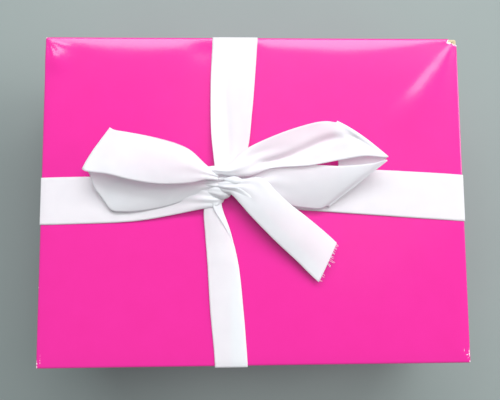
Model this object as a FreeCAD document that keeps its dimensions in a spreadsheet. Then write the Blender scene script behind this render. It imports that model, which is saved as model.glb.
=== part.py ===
import FreeCAD, Part
import math
import os
import Sketcher
from FreeCAD import Placement, Rotation, Vector

# A two-piece set-up gift box: a paper-covered board tray, a lift-off lid in the same paper, and a satin
# ribbon that is taped inside the lid's rim and tied in a bow on top.
# Millimetres. +X along the length, +Z up, origin at the middle of the face that the box stands on.

SIZES = [
    # name, value, what it is
    ("lid_length", 228.6, "outside length of the lid over its paper, along X"),
    ("lid_width", 177.8, "outside width of the lid over its paper, along Y"),
    ("box_height", 70.0, "floor to the top of the closed lid"),
    ("lid_depth", 34.0, "top of the lid to its rim"),
    ("board_thickness", 2.0, "greyboard of tray and lid"),
    ("paper_thickness", 0.25, "covering paper with its glue"),
    ("stay_thickness", 0.15, "gummed corner stay, also the glue gap beside it"),
    ("liner_thickness", 0.2, "white lining paper"),
    ("lid_clearance", 1.2, "gap on each side between the lid's turned-in paper and the tray's paper"),
    ("fold_radius", 0.5, "outside radius of a folded paper edge"),
    ("edge_radius", 1.2, "outer edges of the boards, rounded where they are scored and pressed"),
    ("lid_turn_in", 29.0, "covering paper turned up inside the lid"),
    ("base_turn_in", 22.0, "covering paper turned down inside the tray"),
    ("turn_under", 15.0, "covering paper turned under the tray's floor"),
    ("sheet_margin", 2.5, "bottom sheet's set-back from the tray's outline"),
    ("liner_drop", 12.0, "tray rim to the top edge of the lining"),
    ("stay_arm", 18.0, "width of a stay on each side of its corner"),
    ("stay_setback", 3.0, "board edge to the end of a stay"),
    ("ribbon_width", 25.0, "satin ribbon"),
    ("ribbon_thickness", 0.3, "satin ribbon"),
    ("ribbon_tuck", 22.0, "ribbon run up inside the rim"),
    ("folded_width", 17.0, "front run, folded lengthwise"),
    ("left_run_y", -1.8, "middle of the left run"),
    ("right_run_y", -1.0, "middle of the right run"),
    ("back_run_x", -10.3, "middle of the back run"),
    ("front_run_x", -12.8, "middle of the front run"),
    ("tape_length", 34.0, "tape along the rim"),
    ("tape_height", 16.0, "tape up the wall"),
    ("tape_thickness", 0.1, "tape"),
    ("knot_x", -15.0, "middle of the knot"),
    ("knot_y", 7.5, "middle of the knot"),
    ("knot_length", 24.0, "knot along X"),
    ("knot_width", 18.0, "knot along Y"),
    ("knot_height", 11.0, "knot above the lid"),
    ("knot_grip", 1.2, "how far each ribbon runs into the knot"),
    ("crossing_reach", 24.0, "middle of the knot to where the left and right runs step over the others"),
    ("loop_near_radius", 2.2, "half the thickness of a loop where the knot pinches it"),
    ("loop_far_radius", 6.0, "half the thickness of a loop at its outer end"),
    ("left_loop_reach", 54.0, "knot to the middle of the left loop's outer bend"),
    ("right_loop_reach", 60.0, "knot to the middle of the right loop's outer bend"),
    ("loop_rise", 7.5, "lid to the middle of a loop at the knot"),
    ("tail_length", 60.0, "knot to the cut end"),
    ("tail_crest", 8.0, "lid to the top of the tail's arch"),
    ("tail_tip", 2.5, "lid to the cut end"),
]

LEFT_LOOP_YAW, LEFT_LOOP_ROLL = 174.0, 20.0     # degrees about Z, then about the loop's own length
RIGHT_LOOP_YAW, RIGHT_LOOP_ROLL = 9.0, -18.0
TAIL_YAW = -38.0

doc = FreeCAD.newDocument("gift_box")
sheet = doc.addObject("Spreadsheet::Sheet", "sizes")
for row, (name, value, meaning) in enumerate(SIZES, start=1):
    sheet.set(f"A{row}", str(value))
    sheet.setAlias(f"A{row}", name)
    sheet.set(f"B{row}", meaning)
doc.recompute()

sub_parts = []


# ---- expressions shared by pieces that fit each other ------------------------------------------------

def plus(*terms):
    """Return the sum of expressions as one bracketed expression."""
    return "(" + " + ".join(terms) + ")"


def minus(first, *rest):
    """Return the first expression less the others."""
    return "(" + " - ".join((first,) + rest) + ")"


def half(term):
    """Return half of an expression."""
    return f"({term} / 2)"


def size(name):
    """Return the sheet's cell of that name, as an expression."""
    return f"sizes.{name}"


paper, board, stay = size("paper_thickness"), size("board_thickness"), size("stay_thickness")
liner, ribbon, tape = size("liner_thickness"), size("ribbon_thickness"), size("tape_thickness")
grip = size("knot_grip")
knot_x, knot_y = size("knot_x"), size("knot_y")
knot_half_x, knot_half_y = half(size("knot_length")), half(size("knot_width"))

lid_top = size("box_height")
lid_rim = minus(lid_top, size("lid_depth"))
lid_board_top = minus(lid_top, paper)
lid_panel_under = minus(lid_board_top, board)
lid_board_rim = plus(lid_rim, paper)
base_top = minus(lid_panel_under, liner)
base_board_bottom = f"(2 * {paper})"
base_floor = plus(base_board_bottom, board)
base_board_top = minus(base_top, paper)

# Half-lengths along X and half-widths along Y, from the outside of the lid inwards.
HALF = {"x": half(size("lid_length")), "y": half(size("lid_width"))}
lid_cavity = {a: minus(HALF[a], paper) for a in HALF}
lid_board_out = {a: minus(lid_cavity[a], stay) for a in HALF}
lid_board_in = {a: minus(lid_board_out[a], board) for a in HALF}
lid_paper_in = {a: minus(lid_board_in[a], paper) for a in HALF}
base_out = {a: minus(lid_paper_in[a], size("lid_clearance")) for a in HALF}
base_cavity = {a: minus(base_out[a], paper) for a in HALF}
base_board_out = {a: minus(base_cavity[a], stay) for a in HALF}
base_board_in = {a: minus(base_board_out[a], board) for a in HALF}
base_paper_in = {a: minus(base_board_in[a], paper) for a in HALF}


# ---- building blocks ---------------------------------------------------------------------------------

def value_of(expression):
    """Return an expression's present value in millimetres."""
    result = sheet.evalExpression(expression)
    return float(getattr(result, "Value", result))


def new_body(label):
    """Add a body that becomes one sub-part."""
    body = doc.addObject("PartDesign::Body", label)
    body.Label = label
    sub_parts.append(body)
    return body


def origin_plane(body, role):
    """Return one of a body's own origin planes."""
    return next(f for f in body.Origin.OriginFeatures if f.Role == role)


def attached_sketch(body, role, name, shift="0"):
    """Add a sketch on an origin plane, shifted along the plane's normal."""
    sketch = body.newObject("Sketcher::SketchObject", name)
    sketch.AttachmentSupport = [(origin_plane(body, role), "")]
    sketch.MapMode = "FlatFace"
    sketch.setExpression("AttachmentOffset.Base.z", shift)
    return sketch


def bind(sketch, constraint, expression):
    """Add a dimension to a sketch and tie it to an expression."""
    index = sketch.addConstraint(Sketcher.Constraint(*constraint, value_of(expression)))
    sketch.setExpression(f"Constraints[{index}]", expression)


def add_outline(sketch, points):
    """Add a closed outline whose corners are pairs of expressions."""
    first = sketch.GeometryCount
    corners = [Vector(value_of(x), value_of(y), 0) for x, y in points]
    count = len(corners)
    for i in range(count):
        sketch.addGeometry(Part.LineSegment(corners[i], corners[(i + 1) % count]))
    for i in range(count):
        sketch.addConstraint(Sketcher.Constraint("Coincident", first + i, 2, first + (i + 1) % count, 1))
    for i, (x, y) in enumerate(points):
        bind(sketch, ("DistanceX", -1, 1, first + i, 1), x)
        bind(sketch, ("DistanceY", -1, 1, first + i, 1), y)


def rectangle(x_low, x_high, y_low, y_high):
    """Return the four corners of a rectangle."""
    return [(x_low, y_low), (x_high, y_low), (x_high, y_high), (x_low, y_high)]


def centred(half_sizes):
    """Return the corners of a rectangle about the origin."""
    x, y = half_sizes["x"], half_sizes["y"]
    return rectangle(f"-{x}", x, f"-{y}", y)


def pad(body, name, sketch, length, both_ways=False):
    """Pad a sketch by a length, up its normal or evenly both ways."""
    feature = body.newObject("PartDesign::Pad", name)
    feature.Profile = sketch
    feature.Midplane = both_ways
    feature.setExpression("Length", length)
    return feature


def slab(body, name, outlines, z_low, z_high):
    """Add material inside flat outlines between two heights."""
    sketch = attached_sketch(body, "XY_Plane", name + "_outline", z_low)
    for points in outlines:
        add_outline(sketch, points)
    return pad(body, name, sketch, minus(z_high, z_low))


def hollow(body, name, outlines, z_low, z_high):
    """Take away material inside flat outlines between two heights."""
    before = volume_now(body)
    sketch = attached_sketch(body, "XY_Plane", name + "_outline", z_low)
    for points in outlines:
        add_outline(sketch, points)
    feature = body.newObject("PartDesign::Pocket", name)
    feature.Profile = sketch
    feature.Reversed = True
    feature.setExpression("Length", minus(z_high, z_low))
    if not volume_now(body) < before:
        raise RuntimeError(f"{body.Label}: {name} cuts nothing")
    return feature


def volume_now(body):
    """Recompute and return a body's volume."""
    doc.recompute()
    return body.Shape.Volume


def round_edges(body, name, chosen, radius):
    """Round the edges that a test picks from the body's present shape."""
    doc.recompute()
    base = body.Tip
    edges = [f"Edge{i}" for i, edge in enumerate(base.Shape.Edges, start=1) if chosen(edge)]
    feature = body.newObject("PartDesign::Fillet", name)
    feature.Base = (base, edges)
    feature.setExpression("Radius", radius)
    doc.recompute()
    return feature


def upright(edge):
    """Say whether an edge is vertical."""
    low, high = edge.BoundBox.ZMin, edge.BoundBox.ZMax
    return high - low > 1.0 and edge.BoundBox.XLength < 1e-6 and edge.BoundBox.YLength < 1e-6


def level_at(height):
    """Return a test for edges that lie at a height."""
    return lambda edge: abs(edge.BoundBox.ZMin - height) < 1e-6 and edge.BoundBox.ZLength < 1e-6


# ---- the tray ----------------------------------------------------------------------------------------

def board_tray(label, out, inside, walls, panel, scored_height):
    """Build a board tray or lid: four walls and a panel across them, each between a pair of heights.

    The upright edges and the outer edges at scored_height are rounded.
    """
    body = new_body(label)
    slab(body, "walls", [centred(out), centred(inside)], *walls)
    slab(body, "panel", [centred(out)], *panel)
    outer_x, height = value_of(out["x"]), value_of(scored_height)

    def scored(edge):
        on_outside = abs(abs(edge.BoundBox.XMin) - outer_x) < 1e-6
        return level_at(height)(edge) or (upright(edge) and on_outside)

    round_edges(body, "scores", scored, size("edge_radius"))
    return body


def corner_stays(prefix, out, z_low, z_high):
    """Build the four L-shaped stays on the outside of a board's corners."""
    arm = size("stay_arm")
    for y_name, y_sign in (("front", "-1"), ("back", "1")):
        for x_name, x_sign in (("left", "-1"), ("right", "1")):
            body = new_body(f"{prefix}_stay_{y_name}_{x_name}")

            def corner(x, y, sign_x=x_sign, sign_y=y_sign):
                return f"{sign_x} * {x}", f"{sign_y} * {y}"

            face_x, face_y = out["x"], out["y"]
            over_x, over_y = plus(face_x, stay), plus(face_y, stay)
            outline = [
                corner(over_x, over_y), corner(minus(face_x, arm), over_y),
                corner(minus(face_x, arm), face_y), corner(face_x, face_y),
                corner(face_x, minus(face_y, arm)), corner(over_x, minus(face_y, arm)),
            ]
            slab(body, "strip", [outline],
                 plus(z_low, size("stay_setback")), minus(z_high, size("stay_setback")))


def base_wall_paper():
    """Build the tray's covering: outside, over the rim and down inside, and turned under the floor."""
    body = new_body("base_wall_paper")
    slab(body, "block", [centred(base_out)], paper, base_top)
    round_edges(body, "folds", upright, size("fold_radius"))
    window = {a: minus(base_out[a], size("turn_under")) for a in base_out}
    hollow(body, "window", [centred(window)], paper, base_board_bottom)
    hollow(body, "floor_space", [centred(base_cavity)], base_board_bottom, base_floor)
    hollow(body, "wall_space", [centred(base_cavity), centred(base_board_in)], base_floor, base_board_top)
    hollow(body, "inside", [centred(base_paper_in)], base_floor, base_top)
    hollow(body, "below_turn_in", [centred(base_board_in)], base_floor, minus(base_top, size("base_turn_in")))


def base_bottom_paper():
    """Build the flat sheet under the tray."""
    body = new_body("base_bottom_paper")
    outline = {a: minus(base_out[a], size("sheet_margin")) for a in base_out}
    slab(body, "sheet", [centred(outline)], "0", paper)


def base_liner():
    """Build the tray's lining: a floor sheet with four sides up over the turned-in paper."""
    body = new_body("base_liner")
    inside = {a: minus(base_paper_in[a], liner) for a in base_paper_in}
    slab(body, "sides", [centred(base_paper_in), centred(inside)], base_floor,
         minus(base_top, size("liner_drop")))
    slab(body, "floor", [centred(base_paper_in)], base_floor, plus(base_floor, liner))


# ---- the lid -----------------------------------------------------------------------------------------

def lid_wrap():
    """Build the lid's covering: top, sides, round the rim and up inside."""
    body = new_body("lid_wrap")
    slab(body, "block", [centred(HALF)], lid_rim, lid_top)
    top = value_of(lid_top)
    round_edges(body, "folds", lambda e: upright(e) or level_at(top)(e), size("fold_radius"))
    hollow(body, "panel_space", [centred(lid_cavity)], lid_panel_under, lid_board_top)
    hollow(body, "wall_space", [centred(lid_cavity), centred(lid_board_in)], lid_board_rim, lid_panel_under)
    hollow(body, "inside", [centred(lid_paper_in)], lid_rim, lid_panel_under)
    turn_in_top = plus(lid_rim, size("lid_turn_in"))
    hollow(body, "above_turn_in", [centred(lid_board_in)], turn_in_top, lid_panel_under)


def lid_liner():
    """Build the flat lining sheet under the lid's panel."""
    body = new_body("lid_liner")
    slab(body, "sheet", [centred(lid_paper_in)], base_top, lid_panel_under)


# ---- the ribbon --------------------------------------------------------------------------------------

def ribbon_run(label, axis, side, end, middle, width):
    """Build one run of ribbon from the knot over an edge, round the rim and up inside.

    axis is "x" or "y", side is "-1" or "1" for the edge it goes over, end is where it enters the knot
    along that axis, and middle and width place it across that axis. The runs along X step up by one
    ribbon near the knot, where they cross over the others.
    """
    body = new_body(label)
    out, inside = HALF[axis], lid_paper_in[axis]
    tuck_top = plus(lid_rim, size("ribbon_tuck"))
    far_out, far_in = plus(out, ribbon), minus(inside, ribbon)
    upper, under = plus(lid_top, ribbon), minus(lid_rim, ribbon)
    hem = [
        (f"{side} * {out}", lid_top), (f"{side} * {out}", lid_rim),
        (f"{side} * {inside}", lid_rim), (f"{side} * {inside}", tuck_top),
        (f"{side} * {far_in}", tuck_top), (f"{side} * {far_in}", under),
        (f"{side} * {far_out}", under), (f"{side} * {far_out}", upper),
    ]
    if axis == "x":
        step = plus(knot_x, f"{side} * {size('crossing_reach')}")
        twice = plus(upper, ribbon)
        step_end = plus(step, f"{side} * {ribbon}")
        profile = [(end, upper), (step, upper), (step, lid_top)] + hem
        profile += [(step_end, upper), (step_end, twice), (end, twice)]
        role, shift = "XZ_Plane", f"-1 * {middle}"
    else:
        profile = [(end, lid_top)] + hem + [(end, upper)]
        role, shift = "YZ_Plane", middle
    sketch = attached_sketch(body, role, "run", shift)
    add_outline(sketch, profile)
    pad(body, "ribbon", sketch, width, both_ways=True)


def ribbon_tape(label, axis, side, middle):
    """Build the tape over a ribbon's end inside the rim."""
    body = new_body(label)
    face = minus(lid_paper_in[axis], ribbon)
    across = (minus(middle, half(size("tape_length"))), plus(middle, half(size("tape_length"))))
    through = (f"{side} * {minus(face, tape)}", f"{side} * {face}")
    corners = rectangle(*through, *across) if axis == "x" else rectangle(*across, *through)
    z_low = plus(lid_rim, half(size("ribbon_tuck")))
    slab(body, "tape", [corners], z_low, plus(z_low, size("tape_height")))


def bow_knot():
    """Build the knot as a rounded lump on the lid."""
    body = new_body("bow_knot")
    outline = rectangle(minus(knot_x, knot_half_x), plus(knot_x, knot_half_x),
                        minus(knot_y, knot_half_y), plus(knot_y, knot_half_y))
    slab(body, "lump", [outline], lid_top, plus(lid_top, size("knot_height")))
    top = value_of(plus(lid_top, size("knot_height")))
    round_edges(body, "rounding", lambda e: upright(e) or level_at(top)(e), f"0.35 * {size('knot_height')}")


def add_belt(sketch, near, far, near_radius, far_radius):
    """Add a closed belt outline round two circles, each centre a pair of expressions."""
    first = sketch.GeometryCount
    a, b = (Vector(value_of(x), value_of(y), 0) for x, y in (near, far))
    ra, rb = value_of(near_radius), value_of(far_radius)
    way = math.atan2(b.y - a.y, b.x - a.x)
    lean = math.pi / 2 + math.asin((rb - ra) / a.distanceToPoint(b))
    up = Vector(0, 0, 1)
    near_arc = Part.ArcOfCircle(Part.Circle(a, up, ra), way + lean, way + 2 * math.pi - lean)
    far_arc = Part.ArcOfCircle(Part.Circle(b, up, rb), way - lean, way + lean)
    sketch.addGeometry([
        near_arc, Part.LineSegment(near_arc.EndPoint, far_arc.StartPoint),
        far_arc, Part.LineSegment(far_arc.EndPoint, near_arc.StartPoint),
    ])
    for i in range(4):
        sketch.addConstraint(Sketcher.Constraint("Tangent", first + i, 2, first + (i + 1) % 4, 1))
    for geometry, centre, radius in ((first, near, near_radius), (first + 2, far, far_radius)):
        bind(sketch, ("DistanceX", -1, 1, geometry, 3), centre[0])
        bind(sketch, ("DistanceY", -1, 1, geometry, 3), centre[1])
        bind(sketch, ("Radius", geometry), radius)


def bow_loop(label, side, reach, yaw, roll):
    """Build one loop of the bow: a ribbon bent back on itself, lying over on its side.

    side is "-1" or "1" for the knot's end that it leaves, and yaw and roll are in degrees.
    """
    body = new_body(label)
    sketch = attached_sketch(body, "XZ_Plane", "loop")
    near, far = ("0", "0"), (reach, minus(size("loop_far_radius"), size("loop_near_radius")))
    for inset in ("0", ribbon):
        radii = (minus(size("loop_near_radius"), inset), minus(size("loop_far_radius"), inset))
        add_belt(sketch, near, far, *radii)
    pad(body, "ribbon", sketch, size("ribbon_width"), both_ways=True)
    body.Placement = Placement(Vector(), Rotation(Vector(0, 0, 1), yaw) * Rotation(Vector(1, 0, 0), roll))
    body.setExpression("Placement.Base.x", plus(knot_x, f"{side} * {knot_half_x}"))
    body.setExpression("Placement.Base.y", knot_y)
    body.setExpression("Placement.Base.z", plus(lid_top, size("loop_rise")))


def bow_tail():
    """Build the free end: a strip that arches up from the knot and comes down to its cut end."""
    body = new_body("bow_tail")
    length, crest, tip = size("tail_length"), size("tail_crest"), size("tail_tip")
    start = f"(0.3 * {crest})"
    under = [("0", start), (f"0.3 * {length}", crest), (f"0.6 * {length}", crest), (length, tip)]
    top = [(along, plus(height, ribbon)) for along, height in under]
    sketch = attached_sketch(body, "XZ_Plane", "arch")
    add_outline(sketch, top + under[::-1])
    pad(body, "ribbon", sketch, size("ribbon_width"), both_ways=True)
    body.Placement = Placement(Vector(), Rotation(Vector(0, 0, 1), TAIL_YAW))
    body.setExpression("Placement.Base.x", plus(knot_x, f"0.4 * {knot_half_x}"))
    body.setExpression("Placement.Base.y", minus(knot_y, f"0.85 * {knot_half_y}"))
    body.setExpression("Placement.Base.z", lid_top)


# ---- assembly ----------------------------------------------------------------------------------------

board_tray("base_board", base_board_out, base_board_in, (base_board_bottom, base_board_top),
           (base_board_bottom, base_floor), base_board_bottom)
corner_stays("base", base_board_out, base_board_bottom, base_board_top)
base_wall_paper()
base_bottom_paper()
base_liner()

board_tray("lid_board", lid_board_out, lid_board_in, (lid_board_rim, lid_board_top),
           (lid_panel_under, lid_board_top), lid_board_top)
corner_stays("lid", lid_board_out, lid_board_rim, lid_board_top)
lid_wrap()
lid_liner()

RUNS = (
    ("left", "x", "-1", plus(minus(knot_x, knot_half_x), grip), size("left_run_y"), size("ribbon_width")),
    ("right", "x", "1", minus(plus(knot_x, knot_half_x), grip), size("right_run_y"), size("ribbon_width")),
    ("back", "y", "1", minus(plus(knot_y, knot_half_y), grip), size("back_run_x"), size("ribbon_width")),
    ("front", "y", "-1", plus(minus(knot_y, knot_half_y), grip), size("front_run_x"), size("folded_width")),
)
for name, axis, side, end, middle, width in RUNS:
    ribbon_run(f"ribbon_{name}", axis, side, end, middle, width)
    ribbon_tape(f"ribbon_tape_{name}", axis, side, middle)
bow_knot()
bow_loop("bow_loop_left", "-0.8", size("left_loop_reach"), LEFT_LOOP_YAW, LEFT_LOOP_ROLL)
bow_loop("bow_loop_right", "0.8", size("right_loop_reach"), RIGHT_LOOP_YAW, RIGHT_LOOP_ROLL)
bow_tail()

doc.recompute()
for item in doc.Objects:
    if "Invalid" in item.State or "Error" in item.State:
        raise RuntimeError(f"{item.Label} failed: {item.State}")
os.makedirs("parts", exist_ok=True)
for body in sub_parts:
    if body.Shape.isNull() or not body.Shape.isValid() or body.Shape.Volume <= 0:
        raise RuntimeError(f"{body.Label} has no valid shape")
    body.Shape.exportStep(f"parts/{body.Label}.step")
print(f"{len(sub_parts)} sub-parts written")
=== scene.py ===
"""The looks of a paper-covered gift box with a hand-tied satin ribbon, built round its CAD frame."""
import logging
import math
import random
from dataclasses import dataclass, field
from enum import Enum
from typing import Sequence

import bmesh
import bpy
import numpy as np
from mathutils import Euler, Matrix, Vector, noise


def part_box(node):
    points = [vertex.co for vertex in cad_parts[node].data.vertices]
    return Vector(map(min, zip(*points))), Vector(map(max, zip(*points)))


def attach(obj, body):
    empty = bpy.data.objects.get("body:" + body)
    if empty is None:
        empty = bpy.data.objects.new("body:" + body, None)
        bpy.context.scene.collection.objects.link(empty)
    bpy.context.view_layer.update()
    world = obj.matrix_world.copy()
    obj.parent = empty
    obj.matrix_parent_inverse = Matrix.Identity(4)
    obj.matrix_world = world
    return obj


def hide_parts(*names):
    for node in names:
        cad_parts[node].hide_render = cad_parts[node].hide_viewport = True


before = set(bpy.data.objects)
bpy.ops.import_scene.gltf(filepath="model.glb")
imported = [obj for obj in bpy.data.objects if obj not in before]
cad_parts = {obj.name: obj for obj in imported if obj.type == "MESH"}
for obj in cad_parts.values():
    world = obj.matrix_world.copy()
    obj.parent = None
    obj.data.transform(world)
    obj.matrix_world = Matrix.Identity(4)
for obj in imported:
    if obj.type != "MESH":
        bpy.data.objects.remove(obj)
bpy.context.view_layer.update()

log = logging.getLogger("gift_box")

MM = 0.001
Point = tuple[float, float, float]
Colour = tuple[float, float, float, float]


class Slot(Enum):
    """The material slots that the pieces made here belong to."""

    WRAP = "magenta_wrap_paper"
    RIBBON = "white_satin_ribbon"


class Body(Enum):
    """The bodies that a piece can ride on."""

    BASE = "base"
    LID = "lid"


class Held(Enum):
    """How a length of ribbon is held."""

    LAID = "laid"
    FOLDED = "folded"
    STRETCHED = "stretched"


class Turn(Enum):
    """Which way a ribbon goes on past a crease, with the sign of its first height."""

    UNDER = 1
    OVER = -1


def linear(hex_colour: str) -> Colour:
    """Turn an sRGB hex colour into linear light.

    Args:
        hex_colour: six hex digits.
    Returns:
        Red, green, blue and an alpha of one.
    """
    channels = [int(hex_colour[i:i + 2], 16) / 255 for i in (0, 2, 4)]
    low = [c / 12.92 if c <= 0.04045 else ((c + 0.055) / 1.055) ** 2.4 for c in channels]
    return low[0], low[1], low[2], 1.0


def smooth(edge_low: float, edge_high: float, value: float) -> float:
    """Return 0 below edge_low, 1 above edge_high and a smooth step between them."""
    t = min(1.0, max(0.0, (value - edge_low) / (edge_high - edge_low)))
    return t * t * (3 - 2 * t)


# ---- finishes ----------------------------------------------------------------------------------------

def add_node(tree: bpy.types.NodeTree, kind: str, values: dict | None = None, links: dict | None = None,
             **settings: object) -> bpy.types.Node:
    """Add a node to a tree.

    Args:
        tree: the tree.
        kind: the node's type name.
        values: a value for each named or numbered input.
        links: the output that feeds each named or numbered input.
        settings: the node's own properties.
    Returns:
        The node.
    """
    node = tree.nodes.new(kind)
    for name, value in settings.items():
        setattr(node, name, value)
    for name, value in (values or {}).items():
        node.inputs[name].default_value = value
    for name, source in (links or {}).items():
        tree.links.new(source, node.inputs[name])
    return node


def start_material(name: str, through: str = "", share: float = 0.0
                   ) -> tuple[bpy.types.Material, bpy.types.NodeTree, bpy.types.Node]:
    """Make an empty node material.

    Args:
        name: the material's name.
        through: for thin cloth, the colour of the light that comes through it.
        share: how much of the light that is.
    Returns:
        The material, its tree and its surface shader, already linked to the output.
    """
    material = bpy.data.materials.new(name)
    material.use_nodes = True
    tree = material.node_tree
    tree.nodes.clear()
    shader = add_node(tree, "ShaderNodeBsdfPrincipled")
    surface = shader.outputs[0]
    if through:
        glow = add_node(tree, "ShaderNodeBsdfTranslucent", {"Color": linear(through)})
        mixed = add_node(tree, "ShaderNodeMixShader", {0: share}, {1: surface, 2: glow.outputs[0]})
        surface = mixed.outputs[0]
    add_node(tree, "ShaderNodeOutputMaterial", links={"Surface": surface})
    return material, tree, shader


@dataclass(frozen=True)
class CoatedPaper:
    """Wood-free paper, printed in one flat ink and gloss coated: bright, even, with a soft wide shine.

    The coating keeps a faint orange peel, and where a corner was knocked the ink is rubbed off and the
    white of the sheet shows.
    """

    name: str = "gloss_coated_wrap_paper"
    ink: str = "d72090"
    ink_deep: str = "d31c8a"
    bare: str = "fbeef2"
    mottle_mm: float = 14.0
    peel_mm: float = 1.6
    rub_mm: float = 1.1
    roughness: float = 0.5
    bare_roughness: float = 0.75
    wear_from: float = 0.98
    wear_to: float = 1.12
    ink_specular: float = 0.1
    lacquer: float = 1.0
    lacquer_roughness: float = 0.17

    def build(self) -> bpy.types.Material:
        """Mix the ink, its wear, the gloss coat and the orange peel.

        Returns:
            The material. Where the attribute named rub is high, the ink is worn off.
        """
        material, tree, shader = start_material(self.name)
        place = add_node(tree, "ShaderNodeTexCoord").outputs["Object"]
        mottle = add_node(tree, "ShaderNodeTexNoise", {"Scale": 1 / (self.mottle_mm * MM), "Detail": 3.0},
                          {"Vector": place})
        ink = add_node(tree, "ShaderNodeMix", {6: linear(self.ink), 7: linear(self.ink_deep)},
                       {0: mottle.outputs["Fac"]}, data_type="RGBA")
        grain = add_node(tree, "ShaderNodeTexNoise", {"Scale": 1 / (self.rub_mm * MM), "Detail": 4.0},
                         {"Vector": place})
        wear = add_node(tree, "ShaderNodeAttribute", attribute_name="rub")
        amount = add_node(tree, "ShaderNodeMath", {}, {0: wear.outputs["Fac"], 1: grain.outputs["Fac"]},
                          operation="ADD")
        rubbed = add_node(tree, "ShaderNodeMapRange", {"From Min": self.wear_from, "From Max": self.wear_to},
                          {"Value": amount.outputs[0]})
        colour = add_node(tree, "ShaderNodeMix", {7: linear(self.bare)},
                          {0: rubbed.outputs[0], 6: ink.outputs[2]}, data_type="RGBA")
        tree.links.new(colour.outputs[2], shader.inputs["Base Color"])
        gloss = add_node(tree, "ShaderNodeMapRange",
                         {"To Min": self.roughness, "To Max": self.bare_roughness},
                         {"Value": rubbed.outputs[0]})
        tree.links.new(gloss.outputs[0], shader.inputs["Roughness"])
        shader.inputs["IOR"].default_value = 1.5
        # The ink lies under the lacquer, so nearly all of the shine comes from the lacquer's own surface.
        shader.inputs["Specular IOR Level"].default_value = self.ink_specular
        shader.inputs["Coat Weight"].default_value = self.lacquer
        shader.inputs["Coat Roughness"].default_value = self.lacquer_roughness
        peel = add_node(tree, "ShaderNodeTexNoise", {"Scale": 1 / (self.peel_mm * MM), "Detail": 2.0},
                        {"Vector": place})
        bump = add_node(tree, "ShaderNodeBump", {"Strength": 0.12, "Distance": 0.02 * MM},
                        {"Height": peel.outputs["Fac"]})
        tree.links.new(bump.outputs[0], shader.inputs["Normal"])
        return material


@dataclass(frozen=True)
class PlainPaper:
    """Uncoated paper or board: matt and fibrous, with flecks and a faint cloudiness.

    Attributes:
        name: the material's name.
        light: its ground colour.
        dark: the colour of its flecks and clouds.
        fibre_mm: the size of the clouds.
        fleck_mm: the spacing of the flecks.
        fleck: how strongly the flecks show.
        roughness: how matt it is.
    """

    name: str
    light: str
    dark: str
    fibre_mm: float
    fleck_mm: float
    fleck: float
    roughness: float = 0.92

    def build(self) -> bpy.types.Material:
        """Mix the fibre's cloudiness and the flecks.

        Returns:
            The material.
        """
        material, tree, shader = start_material(self.name)
        place = add_node(tree, "ShaderNodeTexCoord").outputs["Object"]
        cloud = add_node(tree, "ShaderNodeTexNoise",
                         {"Scale": 1 / (self.fibre_mm * MM), "Detail": 6.0, "Roughness": 0.65},
                         {"Vector": place})
        spots = add_node(tree, "ShaderNodeTexVoronoi", {"Scale": 1 / (self.fleck_mm * MM)}, {"Vector": place})
        dark_spot = add_node(tree, "ShaderNodeMapRange",
                             {"From Min": 0.1, "From Max": 0.42, "To Min": self.fleck, "To Max": 0.0},
                             {"Value": spots.outputs["Distance"]})
        shade = add_node(tree, "ShaderNodeMath", {}, {0: cloud.outputs["Fac"], 1: dark_spot.outputs[0]},
                         operation="ADD", use_clamp=True)
        colour = add_node(tree, "ShaderNodeMix", {6: linear(self.light), 7: linear(self.dark)},
                          {0: shade.outputs[0]}, data_type="RGBA")
        tree.links.new(colour.outputs[2], shader.inputs["Base Color"])
        shader.inputs["Roughness"].default_value = self.roughness
        bump = add_node(tree, "ShaderNodeBump", {"Strength": 0.4, "Distance": 0.05 * MM},
                        {"Height": cloud.outputs["Fac"]})
        tree.links.new(bump.outputs[0], shader.inputs["Normal"])
        return material


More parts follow.
